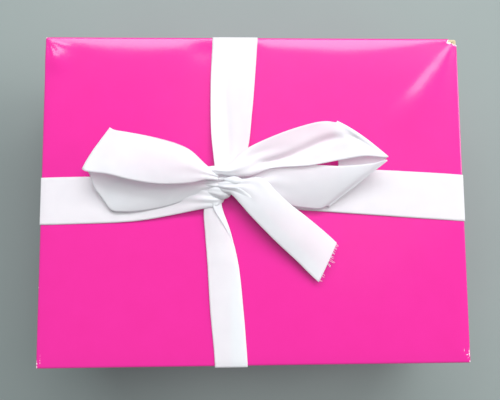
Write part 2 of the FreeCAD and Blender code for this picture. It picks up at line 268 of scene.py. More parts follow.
@dataclass(frozen=True)
class SatinRibbon:
    """Single-face polyester satin, woven: long smooth floats give a soft shine along the ribbon.

    The real weave has about 40 threads to the centimetre, too fine to show, so it is drawn coarser.
    A woven selvedge, a little thicker and duller, runs along both edges.
    """

    name: str = "woven_white_satin"
    light: str = "f8fafb"
    dark: str = "eef0f3"
    thread_mm: float = 0.45
    slub_mm: float = 7.0
    width_mm: float = 25.0
    selvedge_mm: float = 0.9
    weft_spread: float = 1.6
    roughness: float = 0.42
    see_through: float = 0.44

    def build(self) -> bpy.types.Material:
        """Weave the satin, with its selvedges, slubs and the light that comes through it.

        Returns:
            The material. Its UV map, cloth, is metres along and across the ribbon.
        """
        material, tree, shader = start_material(self.name, self.light, self.see_through)
        uv = add_node(tree, "ShaderNodeUVMap", uv_map="cloth").outputs[0]
        axes = add_node(tree, "ShaderNodeSeparateXYZ", links={0: uv})
        turns = 2 * math.pi / (self.thread_mm * MM)
        warp = add_node(tree, "ShaderNodeMath", {1: turns}, {0: axes.outputs[1]}, operation="MULTIPLY")
        weft = add_node(tree, "ShaderNodeMath", {1: turns / self.weft_spread}, {0: axes.outputs[0]},
                        operation="MULTIPLY")
        warp_wave = add_node(tree, "ShaderNodeMath", {}, {0: warp.outputs[0]}, operation="SINE")
        weft_wave = add_node(tree, "ShaderNodeMath", {}, {0: weft.outputs[0]}, operation="SINE")
        weave = add_node(tree, "ShaderNodeMath", {1: 0.45},
                         {0: weft_wave.outputs[0], 2: warp_wave.outputs[0]}, operation="MULTIPLY_ADD")
        half, edge = self.width_mm * MM / 2, self.selvedge_mm * MM
        middle = add_node(tree, "ShaderNodeMath", {1: half}, {0: axes.outputs[1]}, operation="SUBTRACT")
        from_middle = add_node(tree, "ShaderNodeMath", {}, {0: middle.outputs[0]}, operation="ABSOLUTE")
        selvedge = add_node(tree, "ShaderNodeMapRange",
                            {"From Min": half - edge, "From Max": half - 0.6 * edge},
                            {"Value": from_middle.outputs[0]})
        slub = add_node(tree, "ShaderNodeTexNoise", {"Scale": 1 / (self.slub_mm * MM), "Detail": 4.0},
                        {"Vector": uv})
        tone = add_node(tree, "ShaderNodeMath", {1: 0.35}, {0: selvedge.outputs[0], 2: slub.outputs["Fac"]},
                        operation="MULTIPLY_ADD", use_clamp=True)
        colour = add_node(tree, "ShaderNodeMix", {6: linear(self.light), 7: linear(self.dark)},
                          {0: tone.outputs[0]}, data_type="RGBA")
        tree.links.new(colour.outputs[2], shader.inputs["Base Color"])
        rough = add_node(tree, "ShaderNodeMapRange",
                         {"To Min": self.roughness - 0.04, "To Max": self.roughness + 0.16},
                         {"Value": tone.outputs[0]})
        tree.links.new(rough.outputs[0], shader.inputs["Roughness"])
        shader.inputs["IOR"].default_value = 1.5
        shader.inputs["Anisotropic"].default_value = 0.5
        shader.inputs["Sheen Weight"].default_value = 0.25
        shader.inputs["Sheen Roughness"].default_value = 0.35
        height = add_node(tree, "ShaderNodeMath", {1: 2.5}, {0: selvedge.outputs[0], 2: weave.outputs[0]},
                          operation="MULTIPLY_ADD")
        bump = add_node(tree, "ShaderNodeBump", {"Strength": 0.22, "Distance": 0.03 * MM},
                        {"Height": height.outputs[0]})
        tree.links.new(bump.outputs[0], shader.inputs["Normal"])
        return material


@dataclass(frozen=True)
class ClearTape:
    """Matt acetate office tape: a thin cloudy film that shows what is under it."""

    name: str = "matt_clear_tape"
    tint: str = "ece9df"
    cloud_mm: float = 2.5
    alpha: float = 0.38

    def build(self) -> bpy.types.Material:
        """Tint the film and cloud its surface.

        Returns:
            The material.
        """
        material, tree, shader = start_material(self.name)
        place = add_node(tree, "ShaderNodeTexCoord").outputs["Object"]
        cloud = add_node(tree, "ShaderNodeTexNoise", {"Scale": 1 / (self.cloud_mm * MM), "Detail": 3.0},
                         {"Vector": place})
        rough = add_node(tree, "ShaderNodeMapRange", {"To Min": 0.28, "To Max": 0.5},
                         {"Value": cloud.outputs["Fac"]})
        tree.links.new(rough.outputs[0], shader.inputs["Roughness"])
        shader.inputs["Base Color"].default_value = linear(self.tint)
        shader.inputs["IOR"].default_value = 1.48
        shader.inputs["Alpha"].default_value = self.alpha
        return material


@dataclass(frozen=True)
class StudioFloor:
    """A painted board under the object: matt, pale and faintly cloudy, with a painted shadow that darkens it
    on the box's left.

    Attributes:
        name: the material's name.
        light: the paint's lighter tone.
        dark: its darker tone.
        painted_shadow_tone: the paint's tone inside the painted shadow.
        clouds_per_metre: how fine its clouds are.
        painted_shadow_middle: the middle of the painted shadow, in metres.
        painted_shadow_inner: the radius inside which the painted shadow is at its darkest, in metres.
        painted_shadow_outer: the radius where the painted shadow ends, in metres.
        roughness: how matt it is.
    """

    name: str = "painted_floor"
    light: str = "87928f"
    dark: str = "808a88"
    painted_shadow_tone: str = "737d7b"
    clouds_per_metre: float = 9.0
    painted_shadow_middle: Point = (-0.19, -0.06, 0.0)
    painted_shadow_inner: float = 0.08
    painted_shadow_outer: float = 0.19
    roughness: float = 0.7

    def build(self) -> bpy.types.Material:
        """Mix the paint's two tones and the painted shadow on the box's left.

        Returns:
            The material.
        """
        material, tree, shader = start_material(self.name)
        place = add_node(tree, "ShaderNodeTexCoord").outputs["Object"]
        cloud = add_node(tree, "ShaderNodeTexNoise", {"Scale": self.clouds_per_metre, "Detail": 5.0},
                         {"Vector": place})
        paint = add_node(tree, "ShaderNodeMix", {6: linear(self.light), 7: linear(self.dark)},
                         {0: cloud.outputs["Fac"]}, data_type="RGBA")
        # Painted shadow: the paint darkens towards a spot left of and a little in front of the box, standing
        # in for the soft shadow that the box casts there.
        away = add_node(tree, "ShaderNodeVectorMath", {1: self.painted_shadow_middle}, {0: place}, operation="DISTANCE")
        share = add_node(tree, "ShaderNodeMapRange", {1: self.painted_shadow_outer, 2: self.painted_shadow_inner, 3: 0.0, 4: 1.0},
                         {0: away.outputs["Value"]}, interpolation_type="SMOOTHSTEP")
        colour = add_node(tree, "ShaderNodeMix", {7: linear(self.painted_shadow_tone)},
                          {0: share.outputs[0], 6: paint.outputs[2]}, data_type="RGBA")
        tree.links.new(colour.outputs[2], shader.inputs["Base Color"])
        shader.inputs["Roughness"].default_value = self.roughness
        return material


@dataclass
class Finishes:
    """Every finish of the box, made once."""

    wrap: bpy.types.Material = field(default_factory=lambda: CoatedPaper().build())
    # The white core of the wrapping paper, where it is cut or torn: clean and bright.
    sheet_core: bpy.types.Material = field(default_factory=lambda: PlainPaper(
        "wrap_paper_cut_edge", "f7f3f0", "e8e0dc", fibre_mm=0.5, fleck_mm=2.0, fleck=0.1).build())
    # Greyboard pressed from waste paper: dull tan, with dark flecks of old print.
    board: bpy.types.Material = field(default_factory=lambda: PlainPaper(
        "raw_greyboard", "e2d6b4", "83704c", fibre_mm=1.3, fleck_mm=1.5, fleck=1.0).build())
    # Brown kraft tape with a gummed back: plain, warm and fibrous.
    stay: bpy.types.Material = field(default_factory=lambda: PlainPaper(
        "gummed_kraft_paper", "c9a878", "a98450", fibre_mm=2.2, fleck_mm=3.0, fleck=0.3).build())
    # Uncoated wood-free lining: an even warm white.
    lining: bpy.types.Material = field(default_factory=lambda: PlainPaper(
        "uncoated_lining_paper", "f2f0ea", "e2dfd6", fibre_mm=3.0, fleck_mm=4.0, fleck=0.12).build())
    ribbon: bpy.types.Material = field(default_factory=lambda: SatinRibbon().build())
    tape: bpy.types.Material = field(default_factory=lambda: ClearTape().build())
    floor: bpy.types.Material = field(default_factory=lambda: StudioFloor().build())

    def dress(self, node: str, material: bpy.types.Material) -> None:
        """Give a carried-over CAD node a finish in all its material slots.

        Args:
            node: the node's name.
            material: the finish.
        """
        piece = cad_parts[node]
        for slot in piece.material_slots or [None]:
            if slot is None:
                piece.data.materials.append(material)
            else:
                slot.material = material


# ---- meshes ------------------------------------------------------------------------------------------

def new_piece(name: str, points: Sequence[Vector], faces: Sequence[Sequence[int]],
              material: bpy.types.Material) -> bpy.types.Object:
    """Make a smooth-shaded mesh object.

    Args:
        name: its name.
        points: its points, in metres.
        faces: the point numbers round each face.
        material: its finish.
    Returns:
        The object, linked to the scene.
    """
    mesh = bpy.data.meshes.new(name)
    mesh.from_pydata([tuple(p) for p in points], [], [list(f) for f in faces])
    mesh.materials.append(material)
    mesh.shade_smooth()
    piece = bpy.data.objects.new(name, mesh)
    bpy.context.scene.collection.objects.link(piece)
    return piece


def apply_modifiers(piece: bpy.types.Object) -> None:
    """Bake every modifier of a piece into its mesh.

    Args:
        piece: the piece, which gets a new mesh.
    """
    bpy.context.view_layer.update()
    evaluated = piece.evaluated_get(bpy.context.evaluated_depsgraph_get())
    mesh = bpy.data.meshes.new_from_object(evaluated)
    piece.modifiers.clear()
    old = piece.data
    piece.data = mesh
    bpy.data.meshes.remove(old)
    mesh.name = piece.name


def thicken(piece: bpy.types.Object, thickness_mm: float, offset: float, rim_material: int = 0) -> None:
    """Give a sheet its thickness.

    Args:
        piece: the sheet.
        thickness_mm: how thick it becomes.
        offset: -1 behind its face, 0 both ways, 1 in front.
        rim_material: how many material slots further on the cut edge's finish is.
    """
    modifier = piece.modifiers.new("thickness", "SOLIDIFY")
    modifier.thickness = thickness_mm * MM
    modifier.offset = offset
    modifier.use_rim = True
    modifier.material_offset_rim = rim_material
    apply_modifiers(piece)


def hand_in(piece: bpy.types.Object, body: Body, slot: Slot, *nodes: str) -> bpy.types.Object:
    """Say which body a piece rides on and which nodes it replaces.

    Args:
        piece: the piece.
        body: the body that it rides on.
        slot: its material slot; not used.
        nodes: the CAD nodes that it replaces.
    Returns:
        The piece.
    """
    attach(piece, body.value)
    if nodes:
        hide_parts(*nodes)
    log.info("%s: %d faces, rides on %s", piece.name, len(piece.data.polygons), body.value)
    return piece


# ---- paper skins -------------------------------------------------------------------------------------

@dataclass(frozen=True)
class Ring:
    """One level round a paper skin: how far out its sides stand, its corner radius and its height, in mm."""

    out: float
    corner: float
    z: float


@dataclass
class PaperSkin:
    """A sheet of covering paper folded round a board tray or lid.

    Attributes:
        half_x: half its outside length, in mm.
        half_y: half its outside width, in mm.
        step: spacing of its grid, in mm.
        corner: radius of its upright folds, in mm.
        thickness: the paper, in mm.
        lap: how far the end flaps stand out over the side flaps' ends, in mm.
        arc_points: points round an upright fold, without its two ends.
        near: distances from a corner of the close grid places along a side, in mm.
        points: the points made so far, in mm.
        faces: the faces made so far.
    """

    half_x: float
    half_y: float
    step: float = 2.4
    corner: float = 0.8
    thickness: float = 0.25
    lap: float = 0.14
    arc_points: int = 3
    near: tuple[float, ...] = (0.0, 0.5, 1.0, 1.6, 2.3, 3.1, 4.0, 5.0, 6.2, 7.6, 9.4)
    points: list[Vector] = field(default_factory=list)
    faces: list[list[int]] = field(default_factory=list)

    def lines(self, half: float) -> list[float]:
        """Space the grid along a side, closer near its ends.

        Args:
            half: half the side's length, in mm.
        Returns:
            The places along it, from -1 to 1.
        """
        last = half - self.near[-1]
        count = max(2, round(2 * last / self.step))
        inner = np.linspace(-last, last, count + 1)[1:-1]
        places = [-half + d for d in self.near] + list(inner) + [half - d for d in reversed(self.near)]
        return [p / half for p in places]

    def ring_points(self, ring: Ring) -> list[Vector]:
        """Work out the points of one level round the skin.

        Args:
            ring: the level.
        Returns:
            Its points in mm, counter-clockwise from the front left corner.
        """
        half_x, half_y = self.half_x + ring.out, self.half_y + ring.out
        inner_x, inner_y, r = half_x - ring.corner, half_y - ring.corner, ring.corner
        along_x, along_y = self.lines(self.half_x), self.lines(self.half_y)
        sides = (
            ([(inner_x * t, -half_y) for t in along_x], (inner_x, -inner_y), -90),
            ([(half_x, inner_y * t) for t in along_y], (inner_x, inner_y), 0),
            ([(-inner_x * t, half_y) for t in along_x], (-inner_x, inner_y), 90),
            ([(-half_x, -inner_y * t) for t in along_y], (-inner_x, -inner_y), 180),
        )
        found = []
        for side, centre, start in sides:
            found += [Vector((x, y, ring.z)) for x, y in side]
            for k in range(1, self.arc_points + 1):
                angle = math.radians(start + 90 * k / (self.arc_points + 1))
                x, y = centre[0] + r * math.cos(angle), centre[1] + r * math.sin(angle)
                found.append(Vector((x, y, ring.z)))
        return found

    def panel_grid(self, ring: Ring) -> list[int]:
        """Add the flat panel inside a level.

        Args:
            ring: the level.
        Returns:
            The point numbers along its border, in the order of a ring.
        """
        half_x, half_y = self.half_x + ring.out, self.half_y + ring.out
        along_x, along_y = self.lines(self.half_x), self.lines(self.half_y)
        nx, ny = len(along_x), len(along_y)
        base = len(self.points)
        self.points += [Vector((half_x * x, half_y * y, ring.z)) for y in along_y for x in along_x]
        index = [[base + j * nx + i for i in range(nx)] for j in range(ny)]
        for j in range(ny - 1):
            for i in range(nx - 1):
                self.faces.append([index[j][i], index[j][i + 1], index[j + 1][i + 1], index[j + 1][i]])
        extra = self.arc_points
        border = index[0] + [index[0][-1]] * extra
        border += [row[-1] for row in index] + [index[-1][-1]] * extra
        border += index[-1][::-1] + [index[-1][0]] * extra
        border += [row[0] for row in reversed(index)] + [index[0][0]] * extra
        return border

    def add_ring(self, ring: Ring) -> list[int]:
        """Add a ring's points and return their numbers."""
        first = len(self.points)
        self.points += self.ring_points(ring)
        return list(range(first, len(self.points)))

    def join(self, upper: list[int], lower: list[int]) -> None:
        """Add the faces between two rings, leaving out doubled corners.

        Args:
            upper: the point numbers of one ring.
            lower: those of the next.
        """
        count = len(upper)
        for i in range(count):
            j = (i + 1) % count
            face = []
            for number in (upper[i], lower[i], lower[j], upper[j]):
                if number not in face:
                    face.append(number)
            if len(face) > 2:
                self.faces.append(face)

    def arc(self, centre_out: float, centre_z: float, radius: float, start: float, end: float,
            steps: int) -> list[Ring]:
        """Work out the rings round a fold.

        Args:
            centre_out: the fold's axis, from the outside face.
            centre_z: its height.
            radius: its radius.
            start: the angle that it starts at, in degrees, where 0 is outwards and 90 is up.
            end: the angle that it ends at.
            steps: rings in it, less one.
        Returns:
            The rings, in order.
        """
        rings = []
        for k in range(steps + 1):
            angle = math.radians(start + (end - start) * k / steps)
            out = centre_out + radius * math.cos(angle)
            rings.append(Ring(out, self.corner_at(out), centre_z + radius * math.sin(angle)))
        return rings

    def corner_at(self, out: float) -> float:
        """Return the corner radius that suits a ring this far out from the outside face."""
        return max(0.05, self.corner + out)

    def wall(self, out: float, z_from: float, z_to: float) -> list[Ring]:
        """Return rings down or up a wall, with none at its two ends."""
        count = max(2, round(abs(z_to - z_from) / self.step))
        return [Ring(out, self.corner_at(out), z_from + (z_to - z_from) * k / count) for k in range(1, count)]


@dataclass(frozen=True)
class Scuff:
    """A rubbed mark near a corner.

    Attributes:
        side_x: -1 for a left corner, 1 for a right one.
        side_y: -1 for a front corner, 1 for a back one.
        in_x: how far in its middle is, along X, in mm.
        in_y: the same along Y.
        reach_x: its half length along X.
        reach_y: the same along Y.
        bare: how bare its middle is.
    """

    side_x: int
    side_y: int
    in_x: float
    in_y: float
    reach_x: float
    reach_y: float
    bare: float

    def at(self, x: float, y: float, half_x: float, half_y: float) -> float:
        """Measure the wear at a place on the lid.

        Args:
            x: place along the lid, in mm.
            y: place across it.
            half_x: half the lid's length.
            half_y: half its width.
        Returns:
            How worn the place is.
        """
        away_x = (half_x - x * self.side_x - self.in_x) / self.reach_x
        away_y = (half_y - y * self.side_y - self.in_y) / self.reach_y
        return self.bare * math.exp(-away_x ** 2 - away_y ** 2)


@dataclass(frozen=True)
class Dent:
    """A shallow round dent or bump in the top.

    Attributes:
        x: its middle along the lid, in mm.
        y: its middle across it.
        reach_x: its half length along X.
        reach_y: the same along Y.
        height: how far its middle stands up, below 0 for a dent.
    """

    x: float
    y: float
    reach_x: float
    reach_y: float
    height: float

    def at(self, x: float, y: float) -> float:
        """Return how far it lifts a place."""
        away = math.hypot((x - self.x) / self.reach_x, (y - self.y) / self.reach_y)
        return self.height * math.exp(-away * away)


@dataclass
class LidWrap(PaperSkin):
    """The lid's covering, with the soft dents, creases and torn corner of a box that has been handled.

    Attributes:
        top: height of the closed lid.
        depth: top to rim.
        fold: radius of the fold round the top.
        rim_fold: radius of the two folds round the rim.
        wall_span: outside face to inside face.
        turn_in: paper turned up inside.
        tear: length of the missing back right corner along the back edge.
        tear_depth: its depth from the back edge.
        loose: how far the unglued middle of the top stands off the board.
        fall_slope: slope of the top at its back edge.
        fall_places: places along the back edge where the width of the falling strip is known.
        fall_widths: its width at each.
        ridge: headings from the back right corner, in degrees, where the ridge starts, crests and ends.
        facets: heading, height, reach and half angle of each facet at the back left corner.
        dents: dents and bumps in the top.
        scuffs: rubbed marks.
    """

    top: float = 70.0
    depth: float = 34.0
    fold: float = 1.5
    rim_fold: float = 0.7
    wall_span: float = 2.65
    turn_in: float = 29.0
    tear: float = 5.2
    tear_depth: float = 2.6
    loose: float = 0.6
    fall_slope: float = 0.135
    fall_places: tuple[float, ...] = (-112, -100, -82, -60, -36, -24, 0, 8, 50, 66, 110)
    fall_widths: tuple[float, ...] = (2.0, 6.0, 11.5, 13.0, 10.5, 5.0, 4.5, 8.5, 12.0, 10.0, 1.2)
    ridge: tuple[float, float, float] = (46.5, 56.5, 80.0)
    facets: tuple[tuple[float, float, float, float], ...] = (
        (24, 0.35, 17, 7), (44, 0.45, 15, 6), (67, 0.35, 13, 7),
    )
    dents: tuple[Dent, ...] = (Dent(-107.0, 75.2, 6.4, 6.4, 0.95), Dent(-28.0, 81.0, 7.0, 6.0, -0.38))
    scuffs: tuple[Scuff, ...] = (
        Scuff(-1, -1, 0.7, 2.4, 0.8, 3.4, 0.62), Scuff(-1, -1, 2.5, 4.9, 0.45, 4.4, 0.57),
        Scuff(-1, -1, 3.4, 2.2, 0.6, 1.5, 0.58), Scuff(1, -1, 1.0, 5.6, 0.8, 3.2, 0.60),
        Scuff(1, -1, 2.8, 4.4, 2.4, 0.45, 0.56), Scuff(1, -1, 3.6, 6.8, 0.5, 2.5, 0.54),
        Scuff(1, -1, 1.7, 2.8, 1.4, 1.3, 0.6), Scuff(-1, 1, 0.5, 0.5, 1.0, 1.0, 0.75),
        Scuff(-1, 1, 2.8, 0.9, 2.0, 0.5, 0.55), Scuff(-1, -1, 0.5, 41.0, 0.6, 3.0, 0.5),
        Scuff(1, -1, 0.5, 0.7, 1.1, 1.3, 0.62), Scuff(-1, -1, 0.4, 0.6, 1.0, 1.0, 0.62),
    )

    def crown(self, x: float, y: float) -> float:
        """Work out how far the top's paper stands off its flat height.

        Args:
            x: place along the lid, in mm.
            y: place across it.
        Returns:
            The height in mm, never below 0.
        """
        side = min(self.half_x - abs(x), self.half_y + y)
        lift = self.back_fall(x, y) * (1 - math.exp(-max(0.0, side) / 4.0))
        lift += 0.05 * noise.noise(Vector((x / 42, y / 36, 3.1)))
        lift += self.corner_ridge(x, y) + self.corner_creases(x, y)
        lift += sum(dent.at(x, y) for dent in self.dents)
        return max(0.0, lift) * smooth(-2.0, 1.0, min(side, self.half_y - y))

    def back_fall(self, x: float, y: float) -> float:
        """Work out the loose paper's height, which falls to the back edge in two long lens shapes.

        Args:
            x: place along the lid, in mm.
            y: place across it.
        Returns:
            The height, in mm.
        """
        width = float(np.interp(x, self.fall_places, self.fall_widths))
        away = max(0.0, self.half_y - y)
        crest = self.fall_slope * width / 2
        if away < width:
            return crest * (1 - (1 - away / width) ** 2)
        return crest + (self.loose - crest) * smooth(0, 45, away - width)

    def corner_ridge(self, x: float, y: float) -> float:
        """Work out the broad double crease that fans out from the knocked back right corner.

        Args:
            x: place along the lid, in mm.
            y: place across it.
        Returns:
            The height, in mm.
        """
        start, crest, end = self.ridge
        dx, dy = self.half_x - 2.5 - x, self.half_y - 1.5 - y
        away, heading = math.hypot(dx, dy), math.degrees(math.atan2(dy, dx))
        rise = min(1.0, max(0.0, (heading - start) / (crest - start))) + 0.08 * smooth(46.0, 48.5, heading)
        rise -= 0.13 * (1 - smooth(24, 40, away)) * math.exp(-((heading - 53.0) / 0.9) ** 2)
        fall = 1 - smooth(crest, end, heading)
        return 0.027 * away * rise * fall * smooth(0.5, 4.0, away) * (1 - smooth(38, 70, away))

    def corner_creases(self, x: float, y: float) -> float:
        """Work out the small facets that fan out from the back left corner.

        Args:
            x: place along the lid, in mm.
            y: place across it.
        Returns:
            The height, in mm.
        """
        dx, dy = x + self.half_x - 1.5, self.half_y - 1.5 - y
        away = math.hypot(dx, dy)
        lift = 0.0
        for heading, height, reach, spread in self.facets:
            angle = abs(math.degrees(math.atan2(dy, dx)) - heading) / spread
            fade = smooth(0.5, 4, away) * (1 - smooth(0.3 * reach, reach, away))
            lift += height * max(0.0, 1 - angle) * fade
        return lift

    def tear_edge(self, x: float, y: float) -> float:
        """Measure how far a place on the top lies in front of the torn paper's edge.

        Args:
            x: place along the lid, in mm.
            y: place across it.
        Returns:
            The distance in mm, below 0 where the paper is gone.
        """
        across, back = self.half_x - x, self.half_y - y
        ragged = 0.5 * noise.noise(Vector((x / 1.2, y / 1.2, 8.0)))
        reach = self.tear_depth + ragged + 1.6 * (1 - smooth(1.4, 3.8, across))
        return max(back - reach, across - self.tear - ragged)

    def rub(self, x: float, y: float, z: float) -> float:
        """Work out how worn the ink is.

        Args:
            x: place along the lid, in mm.
            y: place across it.
            z: its height.
        Returns:
            The wear, from 0 to 1.
        """
        worn = 0.46 * math.exp(-((self.half_x - abs(x)) ** 2 + (self.half_y - abs(y)) ** 2) / 1.4)
        if z < self.top - 3:
            return worn
        for scuff in self.scuffs:
            worn = max(worn, scuff.at(x, y, self.half_x, self.half_y))
        return max(worn, 0.78 * math.exp(-(self.tear_edge(x, y) / 0.9) ** 2))

    def build(self, finishes: Finishes) -> bpy.types.Object:
        """Fold the sheet.

        Args:
            finishes: the box's finishes.
        Returns:
            The piece.
        """
        rim, inside = self.top - self.depth, -self.wall_span
        rings = self.arc(-self.fold, self.top - self.fold, self.fold, 90, 0, 6)
        rings += self.wall(0.0, self.top - self.fold, rim + self.rim_fold)
        rings += self.arc(-self.rim_fold, rim + self.rim_fold, self.rim_fold, 0, -90, 3)
        rings += self.arc(inside + self.rim_fold, rim + self.rim_fold, self.rim_fold, -90, -180, 3)
        rings += self.wall(inside, rim + self.rim_fold, rim + self.turn_in)
        rings.append(Ring(inside, self.corner_at(inside), rim + self.turn_in))
        level = self.panel_grid(rings[0])
        for ring in rings[1:]:
            lower = self.add_ring(ring)
            self.join(level, lower)
            level = lower
        flat = [p.copy() for p in self.points]
        for p in self.points:
            self.handle(p)
        self.faces = [f for f in self.faces if not self.face_torn(flat, f)]
        piece = new_piece("lid_wrap_paper", [p * MM for p in self.points], self.faces, finishes.wrap)
        piece.data.materials.append(finishes.sheet_core)
        rub = piece.data.attributes.new("rub", "FLOAT", "POINT")
        rub.data.foreach_set("value", [self.rub(*p) for p in flat])
        clear_loose(piece)
        thicken(piece, self.thickness, -1, rim_material=1)
        return hand_in(piece, Body.LID, Slot.WRAP, "lid_wrap")

    def handle(self, p: Vector) -> None:
        """Move one point for the crown of the top, the lap at the corners and the waviness of the walls.

        Args:
            p: the point, in mm, which is moved in place.
        """
        below = self.top - p.z
        x, y = p.x, p.y
        if below < 3.0:
            inner_x, inner_y = self.half_x - 1.6, self.half_y - 1.6
            height = self.crown(max(-inner_x, min(inner_x, x)), max(-inner_y, min(inner_y, y)))
            p.z += height * (1 - smooth(0.0, 3.0, below))
        if abs(x) > self.half_x - 0.3 and below > 1.0:
            over = self.lap * (1 - smooth(self.half_y - 1.7, self.half_y - 1.0, abs(y)))
            p.x += math.copysign(over * smooth(1.0, 2.0, below), x)
        if below > 3.0 and p.z > self.top - self.depth + 2:
            wave = 0.08 * (1 + noise.noise(Vector((x / 25, y / 25, p.z / 14))))
            if abs(x) > self.half_x - 0.4:
                p.x += math.copysign(wave, x)
            elif abs(y) > self.half_y - 0.4:
                p.y += math.copysign(wave, y)

    def face_torn(self, flat: list[Vector], face: list[int]) -> bool:
        """Say whether a face belongs to the missing corner.

        Args:
            flat: the points before the paper was handled.
            face: the face's point numbers.
        Returns:
            True where the paper is gone.
        """
        centre = sum((flat[i] for i in face), Vector()) / len(face)
        low_limit = self.top - 3.2 - 0.8 * noise.noise(Vector((centre.x, centre.y, 1.0)))
        return centre.z > low_limit and self.tear_edge(centre.x, centre.y) < 0


@dataclass
class TrayWrap(PaperSkin):
    """The tray's covering: turned under the floor, up the outside, over the rim and down inside.

    Attributes:
        bottom: height of its lowest face, in mm.
        rim: height of the tray's rim.
        fold: radius of the fold round the floor.
        rim_fold: radius of the two folds round the rim.
        wall_span: outside face to inside face.
        turn_in: paper turned down inside.
        turn_under: paper turned under the floor.
    """

    bottom: float = 0.25
    rim: float = 67.55
    fold: float = 1.4
    rim_fold: float = 0.7
    wall_span: float = 2.65
    turn_in: float = 22.0
    turn_under: float = 15.0

    def build(self, finishes: Finishes) -> bpy.types.Object:
        """Fold the sheet.

        Args:
            finishes: the box's finishes.
        Returns:
            The piece.
        """
        inside = -self.wall_span
        rings = [Ring(-self.turn_under + 3 * k, self.corner_at(-14), self.bottom) for k in range(5)]
        rings += self.arc(-self.fold, self.bottom + self.fold, self.fold, -90, 0, 6)
        rings += self.wall(0.0, self.bottom + self.fold, self.rim - self.rim_fold)
        rings += self.arc(-self.rim_fold, self.rim - self.rim_fold, self.rim_fold, 0, 90, 3)
        rings += self.arc(inside + self.rim_fold, self.rim - self.rim_fold, self.rim_fold, 90, 180, 3)
        rings += self.wall(inside, self.rim - self.rim_fold, self.rim - self.turn_in)
        rings.append(Ring(inside, self.corner_at(inside), self.rim - self.turn_in))
        level = self.add_ring(rings[0])
        for ring in rings[1:]:
            upper = self.add_ring(ring)
            self.join(upper, level)
            level = upper
        for p in self.points:
            if abs(p.x) > self.half_x - 0.2:
                over = self.lap * (1 - smooth(self.half_y - 1.7, self.half_y - 1.0, abs(p.y)))
                p.x += math.copysign(over, p.x)
        piece = new_piece("tray_wrap_paper", [p * MM for p in self.points], self.faces, finishes.wrap)
        piece.data.materials.append(finishes.sheet_core)
        rub = piece.data.attributes.new("rub", "FLOAT", "POINT")
        rub.data.foreach_set("value", [self.rub(p) for p in self.points])
        thicken(piece, self.thickness, -1, rim_material=1)
        return hand_in(piece, Body.BASE, Slot.WRAP, "base_wall_paper")

    def rub(self, p: Vector) -> float:
        """Return how worn the ink is: a little at the upright folds and the tray's bottom corners."""
        near = math.exp(-((self.half_x - abs(p.x)) ** 2 + (self.half_y - abs(p.y)) ** 2) / 1.2)
        return near * (0.44 + 0.2 * math.exp(-p.z / 3.0))


def clear_loose(piece: bpy.types.Object) -> None:
    """Remove the points that no face uses.

    Args:
        piece: the piece.
    """
    mesh = bmesh.new()
    mesh.from_mesh(piece.data)
    bmesh.ops.delete(mesh, geom=[v for v in mesh.verts if not v.link_faces], context="VERTS")
    mesh.to_mesh(piece.data)
    mesh.free()


# ---- ribbon ------------------------------------------------------------------------------------------

@dataclass(frozen=True)
class Ruling:
    """A line across a ribbon, in mm from the middle of the lid's top.

    Attributes:
        first: its point on one selvedge.
        second: its point on the other.
        crown: how far the ribbon stands off the straight line between them.
        peak: where across the ribbon it stands off the most, from 0 to 1.
        pleat: depth of the gathers.
    """

    first: Point
    second: Point
    crown: float = 0.0
    peak: float = 0.5
    pleat: float = 0.0

    def numbers(self) -> list[float]:
        """Return everything that is blended along a ribbon as one list."""
        return [*self.first, *self.second, self.crown, self.peak, self.pleat]

    def swapped(self) -> "Ruling":
        """Return the same line with its two selvedges swapped."""
        return Ruling(self.second, self.first, self.crown, 1 - self.peak, self.pleat)


def crease(first: Point, second: Point, radii: tuple[float, float], away: tuple[float, float], turn: Turn,
           crown: float = 0.0, peak: float = 0.5, steps: int = 4) -> list[Ruling]:
    """Return the rulings of a bend about a line across the ribbon.

    Args:
        first: the bend's axis at one selvedge.
        second: the bend's axis at the other.
        radii: the bend's radius at each.
        away: a place on the inside of the bend.
        turn: whether the ribbon goes on under or over itself.
        crown: how far the bend bulges out between its ends.
        peak: where it bulges the most.
        steps: rulings in the bend, less one.
    Returns:
        The rulings, in order.
    """
    a, b = Vector(first), Vector(second)
    line = (b - a).normalized()
    out = Vector((line.y, -line.x, 0)).normalized()
    if out.dot((a + b) / 2 - Vector((*away, 0))) < 0:
        out.negate()
    rulings = []
    for k in range(steps + 1):
        angle = math.radians(90 - 180 * k / steps)
        ends = [tuple(p + r * (out * math.cos(angle) + Vector((0, 0, turn.value * math.sin(angle)))))
                for p, r in ((a, radii[0]), (b, radii[1]))]
        rulings.append(Ruling(ends[0], ends[1], crown * math.cos(angle), peak))
    return rulings


